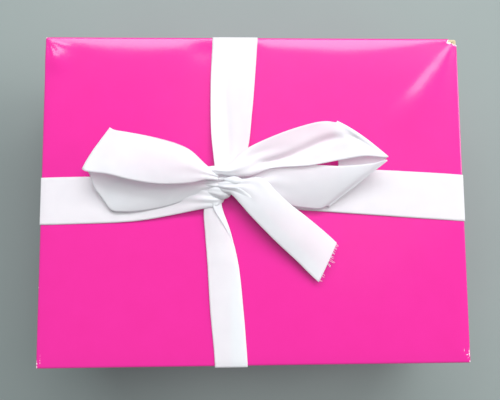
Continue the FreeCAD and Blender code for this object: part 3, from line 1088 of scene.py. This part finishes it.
def spline(rows: np.ndarray, step: float) -> np.ndarray:
    """Return a centripetal Catmull-Rom curve through rows of numbers, about one step apart.

    Args:
        rows: one row for each station; the first six numbers are the two selvedge points.
        step: spacing of the new rows, in mm.
    Returns:
        The new rows.
    """
    spread = 0.5 * (np.linalg.norm(np.diff(rows[:, 0:3], axis=0), axis=1)
                    + np.linalg.norm(np.diff(rows[:, 3:6], axis=0), axis=1))
    padded = np.vstack([2 * rows[0] - rows[1], rows, 2 * rows[-1] - rows[-2]])
    chords = np.concatenate([[spread[0]], spread, [spread[-1]]])
    knots = np.concatenate([[0.0], np.cumsum(np.sqrt(np.maximum(chords, 1e-3)))])
    found = []
    for i in range(1, len(padded) - 2):
        p0, p1, p2, p3 = padded[i - 1:i + 3]
        t0, t1, t2, t3 = knots[i - 1:i + 3]
        count = max(2, math.ceil(chords[i] / step))
        for t in np.linspace(t1, t2, count, endpoint=False):
            a1 = p0 * (t1 - t) / (t1 - t0) + p1 * (t - t0) / (t1 - t0)
            a2 = p1 * (t2 - t) / (t2 - t1) + p2 * (t - t1) / (t2 - t1)
            a3 = p2 * (t3 - t) / (t3 - t2) + p3 * (t - t2) / (t3 - t2)
            b1 = a1 * (t2 - t) / (t2 - t0) + a2 * (t - t0) / (t2 - t0)
            b2 = a2 * (t3 - t) / (t3 - t1) + a3 * (t - t1) / (t3 - t1)
            found.append(b1 * (t2 - t) / (t2 - t1) + b2 * (t - t1) / (t2 - t1))
    found.append(rows[-1])
    return np.array(found)


@dataclass
class RibbonStrip:
    """A stretch of ribbon laid through a list of rulings.

    Attributes:
        name: the piece's name.
        rulings: the lines across it, in order.
        top: height of the lid's top, which the rulings are measured from, in mm.
        face: 1 or -1, the side that crowns and pleats rise to.
        columns: points across the ribbon.
        gathers: number of pleats across it.
        ripple: height of its slow unevenness, in mm.
        seed: which unevenness it has.
        step: spacing of the points along it, in mm.
        width: the ribbon's width, in mm.
        thickness: the cloth, in mm.
        lid: the lid, for a stretch that lies on its top.
        margins: pairs of a distance along it and how much of it is folded in beyond its second side there,
            in mm, where a margin above 0 lies on its face and one below 0 lies behind it.
        turned_columns: points across that margin.
        gap: height of that fold, in mm.
        notch: how much deeper the middle line of a hollow crown is pressed in, as a share of the crown.
        notch_width: how wide that line is, as a share of the width.
        clear: least height of its middle surface over the lid's paper, in mm.
        lifted: depths below the lid's top between which it comes to follow the top's own shape, in mm.
    """

    name: str
    rulings: list[Ruling]
    top: float
    face: int = 1
    columns: int = 25
    gathers: float = 2.5
    ripple: float = 0.12
    seed: float = 0.0
    step: float = 0.9
    width: float = 25.0
    thickness: float = 0.26
    lid: LidWrap | None = None
    margins: tuple[tuple[float, float], ...] = ()
    turned_columns: int = 9
    gap: float = 0.5
    notch: float = 0.0
    notch_width: float = 0.1
    clear: float = 0.16
    lifted: tuple[float, float] = (-4.0, -0.5)

    def grid(self) -> np.ndarray:
        """Work out the ribbon's middle surface.

        Returns:
            Its points in mm, rows along it and columns across it.
        """
        rows = spline(np.array([r.numbers() for r in self.rulings]), self.step)
        first, second = rows[:, 0:3], rows[:, 3:6]
        middle = (first + second) / 2
        along = np.gradient(middle, axis=0)
        across = second - first
        normal = np.cross(along, across)
        normal /= np.maximum(np.linalg.norm(normal, axis=1, keepdims=True), 1e-9)
        places = np.linspace(0, 1, self.columns)
        points = np.zeros((len(rows), self.columns, 3))
        travel = np.concatenate([[0], np.cumsum(np.linalg.norm(np.diff(middle, axis=0), axis=1))])
        for i, row in enumerate(rows):
            crown, peak, pleat = row[6], min(0.85, max(0.15, row[7])), row[8]
            bend = math.log(0.5) / math.log(peak)
            for j, t in enumerate(places):
                u = t ** bend
                lift = crown * 4 * u * (1 - u)
                lift += self.notch * min(0.0, crown) * math.exp(-((t - peak) / self.notch_width) ** 2)
                lift += pleat * math.sin(2 * math.pi * self.gathers * t) * (4 * t * (1 - t)) ** 0.5
                wave = noise.noise(Vector((travel[i] / 11, 1.5 * t, 7.7 + self.seed)))
                lift += self.ripple * wave
                points[i, j] = first[i] + across[i] * t + self.face * normal[i] * lift
        return points

    def length(self) -> float:
        """Measure the ribbon along both selvedges.

        Returns:
            The length that it was cut to, to the nearest millimetre.
        """
        rows = spline(np.array([r.numbers() for r in self.rulings]), self.step)
        first = np.linalg.norm(np.diff(rows[:, 0:3], axis=0), axis=1).sum()
        second = np.linalg.norm(np.diff(rows[:, 3:6], axis=0), axis=1).sum()
        return round((first + second) / 2)

    def fold_margin(self, grid: np.ndarray) -> np.ndarray:
        """Fold in the margin beyond the ribbon's second side.

        Args:
            grid: the middle surface without its margin.
        Returns:
            The middle surface with the margin's columns added.
        """
        middle = grid[:, grid.shape[1] // 2]
        travel = np.concatenate([[0], np.cumsum(np.linalg.norm(np.diff(middle, axis=0), axis=1))])
        across = grid[:, -1] - grid[:, -2]
        across /= np.linalg.norm(across, axis=1, keepdims=True)
        normal = self.face * np.cross(np.gradient(middle, axis=0), across)
        normal /= np.linalg.norm(normal, axis=1, keepdims=True)
        places, widths = zip(*self.margins)
        margin = np.interp(travel, places, widths)
        reach, side = np.abs(margin), np.sign(margin) * np.minimum(1.0, np.abs(margin) / 2)
        grid = grid + (normal * (self.gap * np.maximum(0.0, -side))[:, None])[:, None, :]
        turned = []
        for share in (np.arange(self.turned_columns) + 1) / self.turned_columns:
            angle = math.pi * min(1.0, 3 * share)
            out = 0.25 * math.sin(angle) - max(0.0, share - 1 / 3) * 1.5 * reach
            rise = side * self.gap * (1 - math.cos(angle)) / 2
            turned.append(grid[:, -1] + across * out[:, None] + normal * rise[:, None])
        return np.concatenate([grid, np.stack(turned, axis=1)], axis=1)

    def build(self, finishes: Finishes) -> bpy.types.Object:
        """Make the ribbon, lay it on the lid, fold its margin and give it its thickness.

        Args:
            finishes: the box's finishes.
        Returns:
            The piece.
        """
        grid = self.grid()
        if self.lid is not None:
            for p in grid.reshape(-1, 3):
                height = self.lid.crown(p[0], p[1])
                lying = p[2] > self.lifted[1]
                p[2] += smooth(*self.lifted, p[2]) * height
                if lying:
                    p[2] = max(p[2], height + self.clear)
        if self.margins:
            grid = self.fold_margin(grid)
        rows, columns = grid.shape[:2]
        points = [Vector((p[0], p[1], p[2] + self.top)) * MM for p in grid.reshape(-1, 3)]
        faces = [[i * columns + j, i * columns + j + 1, (i + 1) * columns + j + 1, (i + 1) * columns + j]
                 for i in range(rows - 1) for j in range(columns - 1)]
        piece = new_piece(self.name, points, faces, finishes.ribbon)
        self.lay_out(piece, grid)
        thicken(piece, self.thickness, 0)
        return piece

    def lay_out(self, piece: bpy.types.Object, grid: np.ndarray) -> None:
        """Give a ribbon's mesh its UV map, metres along and across the cloth.

        Args:
            piece: the ribbon, before it has its thickness.
            grid: its middle surface, in mm.
        """
        columns = grid.shape[1]
        steps = np.linalg.norm(np.diff(grid, axis=0), axis=2)
        along = np.vstack([np.zeros(columns), np.cumsum(steps, axis=0)]) * MM
        across = np.linspace(0, self.width, columns) * MM
        layer = piece.data.uv_layers.new(name="cloth")
        for loop in piece.data.loops:
            i, j = divmod(loop.vertex_index, columns)
            layer.data[loop.index].uv = (along[i, j], across[j])


class Side(Enum):
    """A lid edge that a run goes over, with its outward direction."""

    LEFT = (-1, 0)
    RIGHT = (1, 0)
    BACK = (0, 1)
    FRONT = (0, -1)


@dataclass
class Run:
    """One run of ribbon from the bow over a lid edge, down the wall, round the rim and up inside.

    Attributes:
        side: the edge.
        rulings: its lines across the top of the lid, from the bow outwards.
        first: where its first selvedge crosses the edge, along the edge.
        second: where its second one does.
        tuck: how far it runs up inside, from the rim.
        clear: paper to the middle of the cloth.
        lid: the lid that it lies on.
        face: 1 or -1, the side that its crowns rise to.
        seed: which unevenness it has.
        margins: how much of it is folded in, as for a RibbonStrip.
        notch: how deep its valley is pressed in, as for a RibbonStrip.
    """

    side: Side
    rulings: list[Ruling]
    first: float
    second: float
    lid: LidWrap
    face: int
    tuck: float = 22.0
    clear: float = 0.17
    seed: float = 0.0
    margins: tuple[tuple[float, float], ...] = ()
    notch: float = 0.0

    def place(self, out: float, along: float, z: float) -> Point:
        """Return the point this far out from the lid's middle and along its edge."""
        x, y = self.side.value
        return (x * out + (along if x == 0 else 0.0), y * out + (along if y == 0 else 0.0), z)

    def hem(self) -> list[Ruling]:
        """Lead the ribbon over the edge, down the wall, round the rim and up inside.

        Returns:
            The rulings, in order.
        """
        half = self.lid.half_x if self.side.value[0] else self.lid.half_y
        fold, rim_fold, depth = self.lid.fold, self.lid.rim_fold, self.lid.depth
        inside = half - self.lid.wall_span
        path = [self.turned(half - fold, -fold, fold + self.clear, angle) for angle in (90, 60, 30, 0)]
        path += [(half + self.clear, -depth * share) for share in (0.3, 0.6, 0.85)]
        for centre, angles in ((half - rim_fold, (0, -45, -90)), (inside + rim_fold, (-90, -135, -180))):
            path += [self.turned(centre, rim_fold - depth, rim_fold + self.clear, angle) for angle in angles]
        path += [(inside - self.clear, share * self.tuck - depth) for share in (0.35, 0.7, 1.0)]
        return [Ruling(self.place(out, self.first, z), self.place(out, self.second, z)) for out, z in path]

    @staticmethod
    def turned(centre_out: float, centre_z: float, radius: float, angle: float) -> tuple[float, float]:
        """Return a point on a bend, where 0 degrees is outwards and 90 is up."""
        a = math.radians(angle)
        return centre_out + radius * math.cos(a), centre_z + radius * math.sin(a)

    def build(self, finishes: Finishes) -> bpy.types.Object:
        """Lay the run.

        Args:
            finishes: the box's finishes.
        Returns:
            The piece.
        """
        name = f"ribbon_run_{self.side.name.lower()}"
        strip = RibbonStrip(name, self.rulings + self.hem(), self.lid.top, face=self.face, ripple=0.0,
                            lid=self.lid, seed=self.seed, margins=self.margins, notch=self.notch)
        piece = strip.build(finishes)
        hand_in(piece, Body.LID, Slot.RIBBON, f"ribbon_{self.side.name.lower()}")
        strip.length() * MM
        return piece


@dataclass
class Runs:
    """The four runs of ribbon on the lid, each from the bow outwards.

    Attributes:
        lid: the lid.
        low: height of the cloth's middle where it lies flat on the paper, in mm.
    """

    lid: LidWrap
    low: float = 0.17

    def build(self, finishes: Finishes) -> None:
        """Lay all four.

        Args:
            finishes: the box's finishes.
        """
        for run in (self.left(), self.right(), self.back(), self.front()):
            run.build(finishes)

    def left(self) -> Run:
        """Return the left run, gathered under the bow and lying flat from there on."""
        low = self.low
        return Run(Side.LEFT, [
            Ruling((-15.5, 1.5, 4.5), (-17.0, -3.0, 3.6), crown=0.8),
            Ruling((-20.0, 2.0, 5.6), (-20.5, -5.4, 4.4), crown=1.0, pleat=0.2),
            Ruling((-27.0, 4.0, 5.4), (-27.5, -6.4, 3.6), crown=1.0, pleat=0.3),
            Ruling((-42.0, 9.0, 2.6), (-42.0, -9.2, 2.0), crown=0.6, peak=0.6, pleat=0.15),
            Ruling((-59.0, 11.0, 0.8), (-59.0, -12.1, 1.0), crown=0.5, peak=0.7),
            Ruling((-74.0, 11.4, 0.4), (-73.0, -13.3, 0.5), crown=0.3),
            Ruling((-94.5, 11.2, low), (-93.5, -13.9, low), crown=0.1),
            Ruling((-106.0, 11.0, low), (-106.0, -14.2, low)),
        ], first=10.8, second=-14.3, lid=self.lid, face=1, seed=1.0)

    def right(self) -> Run:
        """Return the right run, which comes out from under the right loop."""
        low = self.low
        return Run(Side.RIGHT, [
            Ruling((-10.0, 9.0, 5.0), (-10.0, 2.0, 4.5), crown=0.6, pleat=0.3),
            Ruling((4.0, 13.0, 3.4), (4.0, -3.0, 2.4), crown=0.8, pleat=0.3),
            Ruling((22.0, 14.6, 1.6), (22.0, -6.8, 1.0), crown=0.8),
            Ruling((40.0, 14.8, 0.8), (39.0, -8.2, 0.8), crown=0.4),
            Ruling((66.0, 14.4, 0.5), (66.0, -10.2, 0.5), crown=0.2),
            Ruling((90.0, 13.2, low), (90.0, -12.0, 0.4), crown=0.1),
            Ruling((106.0, 12.2, low), (106.0, -13.1, low)),
        ], first=11.7, second=-13.6, lid=self.lid, face=-1, seed=2.0)

    def back(self) -> Run:
        """Return the back run, drawn in at the knot with a valley along it."""
        low = self.low
        return Run(Side.BACK, [
            Ruling((-20.0, 10.0, 7.2), (-11.0, 10.0, 7.2), crown=-0.6, pleat=0.6),
            Ruling((-21.0, 15.8, 7.8), (-8.0, 16.5, 7.6), crown=-2.0, peak=0.45, pleat=0.4),
            Ruling((-21.8, 22.0, 5.8), (-3.9, 25.0, 5.4), crown=-2.8, peak=0.44, pleat=0.15),
            Ruling((-23.2, 36.5, 3.6), (-1.3, 45.0, 3.4), crown=-2.4, peak=0.38),
            Ruling((-23.5, 64.0, 1.8), (0.6, 66.0, 1.7), crown=-1.1, peak=0.34),
            Ruling((-22.9, 82.0, low), (1.8, 82.0, low)),
        ], first=-22.7, second=2.2, lid=self.lid, face=-1, seed=3.0, notch=0.3)

    def front(self) -> Run:
        """Return the front run, folded lengthwise: over at the knot, then under."""
        low = self.low
        return Run(Side.FRONT, [
            Ruling((-25.6, 2.0, 4.0), (-17.5, 2.0, 4.4), crown=0.6, pleat=0.2),
            Ruling((-27.0, -7.0, 3.0), (-18.0, -4.5, 3.6), crown=0.8),
            Ruling((-26.4, -20.0, 1.6), (-13.2, -19.0, 2.2), crown=0.8),
            Ruling((-25.3, -35.0, 0.8), (-9.4, -35.0, 1.3), crown=0.6),
            Ruling((-23.8, -60.0, 0.5), (-6.7, -60.0, 0.7), crown=0.35, peak=0.4),
            Ruling((-21.8, -81.0, low), (-5.1, -81.0, low + 0.05), crown=0.12),
        ], first=-21.4, second=-4.7, lid=self.lid, face=1, seed=4.0,
            margins=((0, 5.0), (9, 4.4), (18, 2.2), (26, 0.3), (34, -1.5), (60, -6.0), (90, -8.2),
                     (400, -8.2)))


@dataclass
class Bow:
    """The bow: two loops, the knot between them and one free end.

    Attributes:
        lid: the lid that it is tied on.
        knot: the middle of the knot, in mm.
        knot_shown: share of the knot's ribbon that is not rolled up out of sight; not used.
        thread_count: frayed threads at the free end.
        thread_radius: half their thickness, in mm.
    """

    lid: LidWrap
    knot: tuple[float, float] = (-15.0, 7.5)
    knot_shown: float = 0.55
    thread_count: int = 24
    thread_radius: float = 0.09

    def left_loop(self) -> RibbonStrip:
        """Return the left loop: out along its top, round a soft end and back along a lower layer."""
        top = [
            Ruling((-19.0, 12.5, 9.5), (-19.5, 8.0, 9.5), crown=0.5, pleat=0.3),
            Ruling((-24.3, 15.0, 11.8), (-24.9, 8.2, 11.8), crown=1.0, pleat=0.25),
            Ruling((-32.4, 22.5, 13.0), (-33.4, 6.3, 13.0), crown=3.2, peak=0.30, pleat=0.15),
            Ruling((-40.6, 26.4, 14.6), (-48.0, 5.6, 14.6), crown=3.2, peak=0.28),
            Ruling((-52.9, 29.5, 16.2), (-62.6, 7.6, 15.9), crown=1.8, peak=0.32),
            Ruling((-63.5, 31.5, 16.8), (-74.5, 10.6, 16.2), crown=0.6),
        ]
        end = crease((-71.9, 33.4, 12.6), (-86.0, 12.4, 11.6), (2.8, 2.6), self.knot, Turn.UNDER,
                     crown=0.6, peak=0.6)
        lower = [
            Ruling((-69.0, 26.0, 9.2), (-83.6, 5.0, 7.2), crown=-0.4),
            Ruling((-66.0, 21.0, 8.2), (-80.2, -0.6, 4.8), crown=-0.8),
            Ruling((-63.6, 18.0, 7.8), (-76.4, -6.4, 3.3), crown=-1.2, peak=0.6),
            Ruling((-62.0, 17.0, 7.6), (-74.4, -7.5, 3.0), crown=-1.4, peak=0.6),
            Ruling((-60.4, 16.5, 7.4), (-71.2, -7.8, 2.9), crown=-1.5, peak=0.6),
            Ruling((-56.0, 16.0, 7.0), (-64.4, -7.8, 2.8), crown=-1.8, peak=0.62),
            Ruling((-45.0, 16.0, 6.6), (-47.6, -5.2, 3.0), crown=-1.8, peak=0.6),
            Ruling((-34.0, 13.0, 6.6), (-35.5, -1.2, 4.2), crown=-1.4),
            Ruling((-26.0, 9.5, 7.2), (-26.3, 2.8, 6.2), crown=-0.8, pleat=0.3),
            Ruling((-20.0, 8.5, 7.6), (-20.5, 3.5, 7.0), crown=-0.5, pleat=0.3),
        ]
        return RibbonStrip("bow_loop_left_satin", top + end + lower, self.lid.top, seed=11.0)

    def right_loop(self) -> RibbonStrip:
        """Return the right loop: out along its top, under itself, and back over along the front."""
        top = [
            Ruling((-25.0, 15.0, 10.6), (-25.0, 11.5, 10.0), crown=0.3),
            Ruling((-20.0, 15.3, 11.6), (-20.0, 11.0, 10.6), crown=1.0, pleat=0.1),
            Ruling((-14.5, 15.3, 12.2), (-11.5, 10.2, 11.0), crown=1.4, pleat=0.15),
            Ruling((-8.5, 20.4, 13.4), (-3.0, 9.8, 11.6), crown=1.6, peak=0.62, pleat=0.2),
            Ruling((-3.3, 24.3, 14.6), (8.0, 13.6, 13.0), crown=-0.6, peak=0.74, pleat=0.3),
            Ruling((14.0, 31.6, 16.6), (27.5, 14.9, 14.2), crown=-1.2, peak=0.6),
            Ruling((29.7, 36.3, 17.2), (44.0, 17.6, 15.2), crown=-1.2, peak=0.46),
            Ruling((36.5, 37.2, 16.8), (56.5, 19.4, 15.8), crown=-0.3, peak=0.42),
        ]
        far = crease((41.4, 36.8, 15.6), (67.6, 18.8, 14.6), (1.0, 0.8), self.knot, Turn.UNDER,
                     crown=1.15, peak=0.42)
        under = [
            Ruling((42.6, 27.0, 11.0), (67.2, 18.4, 13.2)),
            Ruling((43.6, 15.0, 8.6), (67.0, 18.0, 13.0)),
            Ruling((42.0, 3.0, 5.4), (66.8, 17.7, 12.8)),
        ]
        over = crease((38.4, -5.4, 3.2), (67.6, 17.8, 13.4), (0.8, 0.6), self.knot, Turn.OVER)
        back = [
            Ruling((34.5, -6.7, 4.2), (60.5, 16.0, 14.2), crown=0.3),
            Ruling((29.0, -6.6, 4.4), (44.0, 14.8, 13.4), crown=1.0),
            Ruling((19.5, -5.2, 5.0), (28.0, 15.6, 12.6), crown=1.2),
            Ruling((8.0, -0.8, 6.6), (10.0, 15.6, 11.4), crown=1.0, pleat=0.2),
            Ruling((-1.0, 3.0, 7.4), (-3.0, 9.6, 9.4), crown=0.6, pleat=0.4),
            Ruling((-9.0, 4.6, 7.2), (-10.0, 9.0, 8.2), crown=0.3, pleat=0.4),
        ]
        rulings = [ruling.swapped() for ruling in top + far + under + over + back]
        return RibbonStrip("bow_loop_right_satin", rulings, self.lid.top, seed=12.0, notch=1.9)

    def tail(self) -> RibbonStrip:
        """Return the free end: over the knot's front, down to the right and off in a slanting cut."""
        rulings = [
            Ruling((-19.0, 7.4, 7.6), (-20.5, 3.8, 6.6), crown=0.6, pleat=0.1),
            Ruling((-14.0, 7.8, 11.0), (-16.6, 2.4, 8.8), crown=1.0, pleat=0.15),
            Ruling((-6.0, 8.6, 12.0), (-12.4, 1.2, 9.2), crown=0.8, pleat=0.3),
            Ruling((3.5, 8.9, 13.0), (-7.6, -3.8, 9.6), crown=0.8, pleat=0.15),
            Ruling((10.6, 2.2, 12.6), (-3.0, -9.2, 9.4), crown=0.8),
            Ruling((18.0, -4.6, 11.2), (4.0, -16.6, 8.4), crown=0.9),
            Ruling((25.2, -10.0, 9.8), (12.2, -24.8, 7.2), crown=1.0),
            Ruling((34.0, -17.0, 7.6), (21.8, -33.7, 5.4), crown=1.0),
            Ruling((40.0, -22.2, 5.8), (29.0, -41.0, 4.4), crown=0.8),
            Ruling((42.6, -24.6, 5.0), (33.1, -44.8, 4.0), crown=0.6),
        ]
        margins = ((0, -2.5), (8, -4.5), (20, -6.5), (60, -6.0), (90, -5.0))
        return RibbonStrip("bow_tail_satin", rulings, self.lid.top, face=-1, seed=13.0, margins=margins,
                           gap=0.6)

    def threads(self, finishes: Finishes) -> bpy.types.Object:
        """Pull frayed threads out of the tail's cut end, more and longer ones near its middle.

        Args:
            finishes: the box's finishes.
        Returns:
            The threads, as one mesh.
        """
        rng = random.Random(7)
        curve = bpy.data.curves.new("bow_tail_frayed_threads", "CURVE")
        curve.dimensions = "3D"
        curve.bevel_depth = self.thread_radius * MM
        curve.bevel_resolution = 1
        start, end = Vector((43.0, -25.2, 5.0)), Vector((33.3, -45.0, 4.0))
        onward = Vector((0.76, -0.62, -0.05))
        for _ in range(self.thread_count):
            share = rng.random()
            middle = math.exp(-((share - 0.55) / 0.16) ** 2)
            reach = rng.uniform(0.4, 1.3) + middle * rng.uniform(0.0, 3.4)
            root = start.lerp(end, share) + Vector((0, 0, 0.6 * 4 * share * (1 - share)))
            way = onward + Vector((rng.uniform(-0.3, 0.3), rng.uniform(-0.3, 0.3), rng.uniform(-0.15, 0.2)))
            line = curve.splines.new("POLY")
            line.points.add(3)
            for k, point in enumerate(line.points):
                bend = Vector((rng.uniform(-0.1, 0.1), rng.uniform(-0.1, 0.1), 0.1 * k)) * k
                place = root - onward * 0.6 + way * (reach + 0.6) * k / 3 + bend
                point.co = (*((place + Vector((0, 0, self.lid.top))) * MM), 1.0)
        curve.materials.append(finishes.ribbon)
        piece = bpy.data.objects.new("bow_tail_frayed_threads", curve)
        bpy.context.scene.collection.objects.link(piece)
        mesh = bpy.data.meshes.new_from_object(piece.evaluated_get(bpy.context.evaluated_depsgraph_get()))
        bpy.data.objects.remove(piece)
        mesh.uv_layers.new(name="cloth")
        mesh.name = "bow_tail_frayed_threads"
        threads = bpy.data.objects.new("bow_tail_frayed_threads", mesh)
        bpy.context.scene.collection.objects.link(threads)
        return threads

    def knot_parts(self) -> list[RibbonStrip]:
        """Shape the short turns of ribbon that make the knot.

        Returns:
            Its gathered core, the tight roll on top and the turn at its front.
        """
        core = [
            Ruling((-26.0, 12.0, 5.0), (-26.0, 3.0, 4.0), crown=2.0, pleat=0.5),
            Ruling((-22.0, 13.5, 6.4), (-22.0, 1.5, 5.2), crown=2.6, pleat=0.7),
            Ruling((-15.5, 14.0, 7.0), (-15.5, 0.5, 5.6), crown=2.4, pleat=0.8),
            Ruling((-9.0, 13.5, 6.6), (-9.0, 2.0, 5.4), crown=2.4, pleat=0.7),
            Ruling((-4.5, 12.0, 5.0), (-4.5, 4.0, 4.2), crown=1.8, pleat=0.5),
        ]
        roll, roll_radius = [], 0.5
        for angle in range(170, -101, -30):
            y, z = roll_radius * math.cos(math.radians(angle)), roll_radius * math.sin(math.radians(angle))
            roll.append(Ruling((-16.2, 8.2 + y, 10.2 + z), (-6.2, 7.2 + y, 11.0 + z), crown=1.7, peak=0.56))
        wrap = [
            Ruling((-26.0, 3.6, 5.2), (-26.6, 1.6, 4.4), crown=0.5),
            Ruling((-21.6, 4.6, 8.0), (-22.4, -0.2, 5.4), crown=1.2, pleat=0.12),
            Ruling((-17.6, 4.2, 9.2), (-18.4, -1.6, 5.8), crown=1.5, pleat=0.12),
            Ruling((-14.6, 3.0, 8.8), (-15.2, -1.2, 6.4), crown=0.9),
            Ruling((-12.8, 2.0, 7.0), (-13.4, 0.0, 5.6), crown=0.3),
        ]
        top = self.lid.top
        return [
            RibbonStrip("knot_core", core, top, face=-1, gathers=3.5, columns=29, seed=21.0, step=0.7),
            RibbonStrip("knot_roll", roll, top, face=-1, columns=17, seed=22.0, step=0.5, ripple=0.05),
            RibbonStrip("knot_wrap", wrap, top, face=-1, columns=17, seed=23.0, step=0.6),
        ]

    def build(self, finishes: Finishes) -> None:
        """Tie the bow.

        Args:
            finishes: the box's finishes.
        """
        for strip, node in ((self.left_loop(), "bow_loop_left"), (self.right_loop(), "bow_loop_right")):
            piece = strip.build(finishes)
            hand_in(piece, Body.LID, Slot.RIBBON, node)
            strip.length() * MM
        tail = self.tail()
        piece = tail.build(finishes)
        hand_in(piece, Body.LID, Slot.RIBBON, "bow_tail")
        threads = hand_in(self.threads(finishes), Body.LID, Slot.RIBBON)
        tail.length() * MM
        strips = self.knot_parts()
        pieces = [strip.build(finishes) for strip in strips]
        knot = join_pieces("bow_knot_satin", pieces)
        hand_in(knot, Body.LID, Slot.RIBBON, "bow_knot")
        length = sum(strip.length() for strip in strips)


def join_pieces(name: str, pieces: list[bpy.types.Object]) -> bpy.types.Object:
    """Join mesh pieces into one.

    Args:
        name: its name.
        pieces: the pieces, of which the first takes in the others.
    Returns:
        The joined piece.
    """
    with bpy.context.temp_override(active_object=pieces[0], selected_editable_objects=pieces,
                                   selected_objects=pieces, object=pieces[0]):
        bpy.ops.object.join()
    pieces[0].name = name
    pieces[0].data.name = name
    return pieces[0]


# ---- room, light and camera --------------------------------------------------------------------------

@dataclass(frozen=True)
class PanelLight:
    """A soft panel light.

    Attributes:
        name: its name.
        place: where it hangs, in metres.
        target: the place that it faces.
        size: its two sides.
        power: its power, in watts.
        colour: the colour of its light.
        mirrored: whether glossy surfaces mirror it.
    """

    name: str
    place: Point
    target: Point
    size: tuple[float, float]
    power: float
    colour: str
    mirrored: bool = True

    def hang(self) -> None:
        """Hang the light and face it to its target."""
        data = bpy.data.lights.new(self.name, "AREA")
        data.shape = "RECTANGLE"
        data.size, data.size_y = self.size
        data.energy = self.power
        data.color = linear(self.colour)[:3]
        lamp = bpy.data.objects.new(self.name, data)
        lamp.location = self.place
        lamp.rotation_euler = (Vector(self.target) - lamp.location).to_track_quat("-Z", "Y").to_euler()
        lamp.visible_glossy = self.mirrored
        bpy.context.scene.collection.objects.link(lamp)


@dataclass
class Studio:
    """A pale floor, soft light from behind as from a window, and the camera above the lid.

    Attributes:
        box_top: height of the lid's top, in mm.
        lights: the panel lights; only the low window behind and the side light are mirrored in the lacquer.
        room_colour: the colour of the light from all round.
        room_light: its strength.
        floor_half: half the floor's side, in metres.
        camera_place: where the camera hangs, in mm, its height measured from the lid's top.
        camera_turn: how far it is turned from straight down, in degrees.
        focal_share: its focal length as a share of the sensor's width.
        sensor: the sensor's width, in mm.
    """

    box_top: float
    lights: tuple[PanelLight, ...] = (
        PanelLight("window_light", (0.08, 1.00, 1.18), (0, 0.05, 0.07), (2.0, 0.50), 23.0, "fcfcff"),
        PanelLight("overhead_light", (0.40, 0.42, 1.6), (0, 0, 0.07), (1.2, 1.0), 15.5, "ffffff",
                   mirrored=False),
        PanelLight("side_light", (1.40, 0.30, 0.50), (0, 0, 0.05), (0.5, 1.0), 7.0, "fffdfa"),
    )
    room_colour: str = "eef1f4"
    room_light: float = 0.46
    floor_half: float = 3.0
    camera_place: Point = (-8.19, -19.03, 230.89)
    camera_turn: Point = (-4.327, 1.394, 0.2685)
    focal_share: float = 0.86
    sensor: float = 36.0

    def build(self, finishes: Finishes) -> None:
        """Set up the floor, the lights, the world, the colours and the camera.

        Args:
            finishes: the box's finishes.
        """
        self.floor(finishes)
        for light in self.lights:
            light.hang()
        world = bpy.data.worlds.new("studio")
        world.use_nodes = True
        background = world.node_tree.nodes["Background"]
        background.inputs["Color"].default_value = linear(self.room_colour)
        background.inputs["Strength"].default_value = self.room_light
        bpy.context.scene.world = world
        view = bpy.context.scene.view_settings
        view.view_transform = "Standard"
        view.look = "None"
        view.exposure = 0.0
        view.gamma = 1.0
        self.camera()

    def floor(self, finishes: Finishes) -> None:
        """Lay the floor.

        Args:
            finishes: the box's finishes.
        """
        half = self.floor_half
        signs = ((-1, -1), (1, -1), (1, 1), (-1, 1))
        corners = [Vector((half * x, half * y, 0.0)) for x, y in signs]
        new_piece("studio_floor", corners, [[0, 1, 2, 3]], finishes.floor)

    def camera(self) -> None:
        """Hang the camera over the lid, a little in front of its middle."""
        data = bpy.data.cameras.new("camera")
        data.sensor_width = self.sensor
        data.lens = self.sensor * self.focal_share
        data.clip_start = 0.01
        camera = bpy.data.objects.new("camera", data)
        turn = Euler([math.radians(a) for a in self.camera_turn], "XYZ").to_matrix().transposed()
        x, y, z = self.camera_place
        camera.matrix_world = Matrix.Translation(Vector((x, y, z + self.box_top)) * MM) @ turn.to_4x4()
        bpy.context.scene.collection.objects.link(camera)
        bpy.context.scene.camera = camera


def dress_frame(finishes: Finishes) -> None:
    """Give every CAD node that stays visible its finish.

    Args:
        finishes: the box's finishes.
    """
    plain = {"base_board": finishes.board, "lid_board": finishes.board, "base_bottom_paper": finishes.wrap,
             "base_liner": finishes.lining, "lid_liner": finishes.lining}
    for node, material in plain.items():
        finishes.dress(node, material)
    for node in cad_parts:
        if "_stay_" in node:
            finishes.dress(node, finishes.stay)
        if "_tape_" in node:
            finishes.dress(node, finishes.tape)


def main() -> None:
    """Build the gift box and its setting."""
    logging.basicConfig(level=logging.INFO, format="%(name)s: %(message)s")
    finishes = Finishes()
    dress_frame(finishes)
    wrap_low, wrap_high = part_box("lid_wrap")
    tray_low, tray_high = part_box("base_wall_paper")
    lid = LidWrap(half_x=wrap_high.x / MM, half_y=wrap_high.y / MM, top=wrap_high.z / MM,
                  depth=(wrap_high.z - wrap_low.z) / MM)
    lid.build(finishes)
    TrayWrap(half_x=tray_high.x / MM, half_y=tray_high.y / MM, bottom=tray_low.z / MM,
             rim=tray_high.z / MM).build(finishes)
    Runs(lid).build(finishes)
    Bow(lid=lid).build(finishes)
    Studio(box_top=lid.top).build(finishes)


if __name__ == "__main__":
    main()
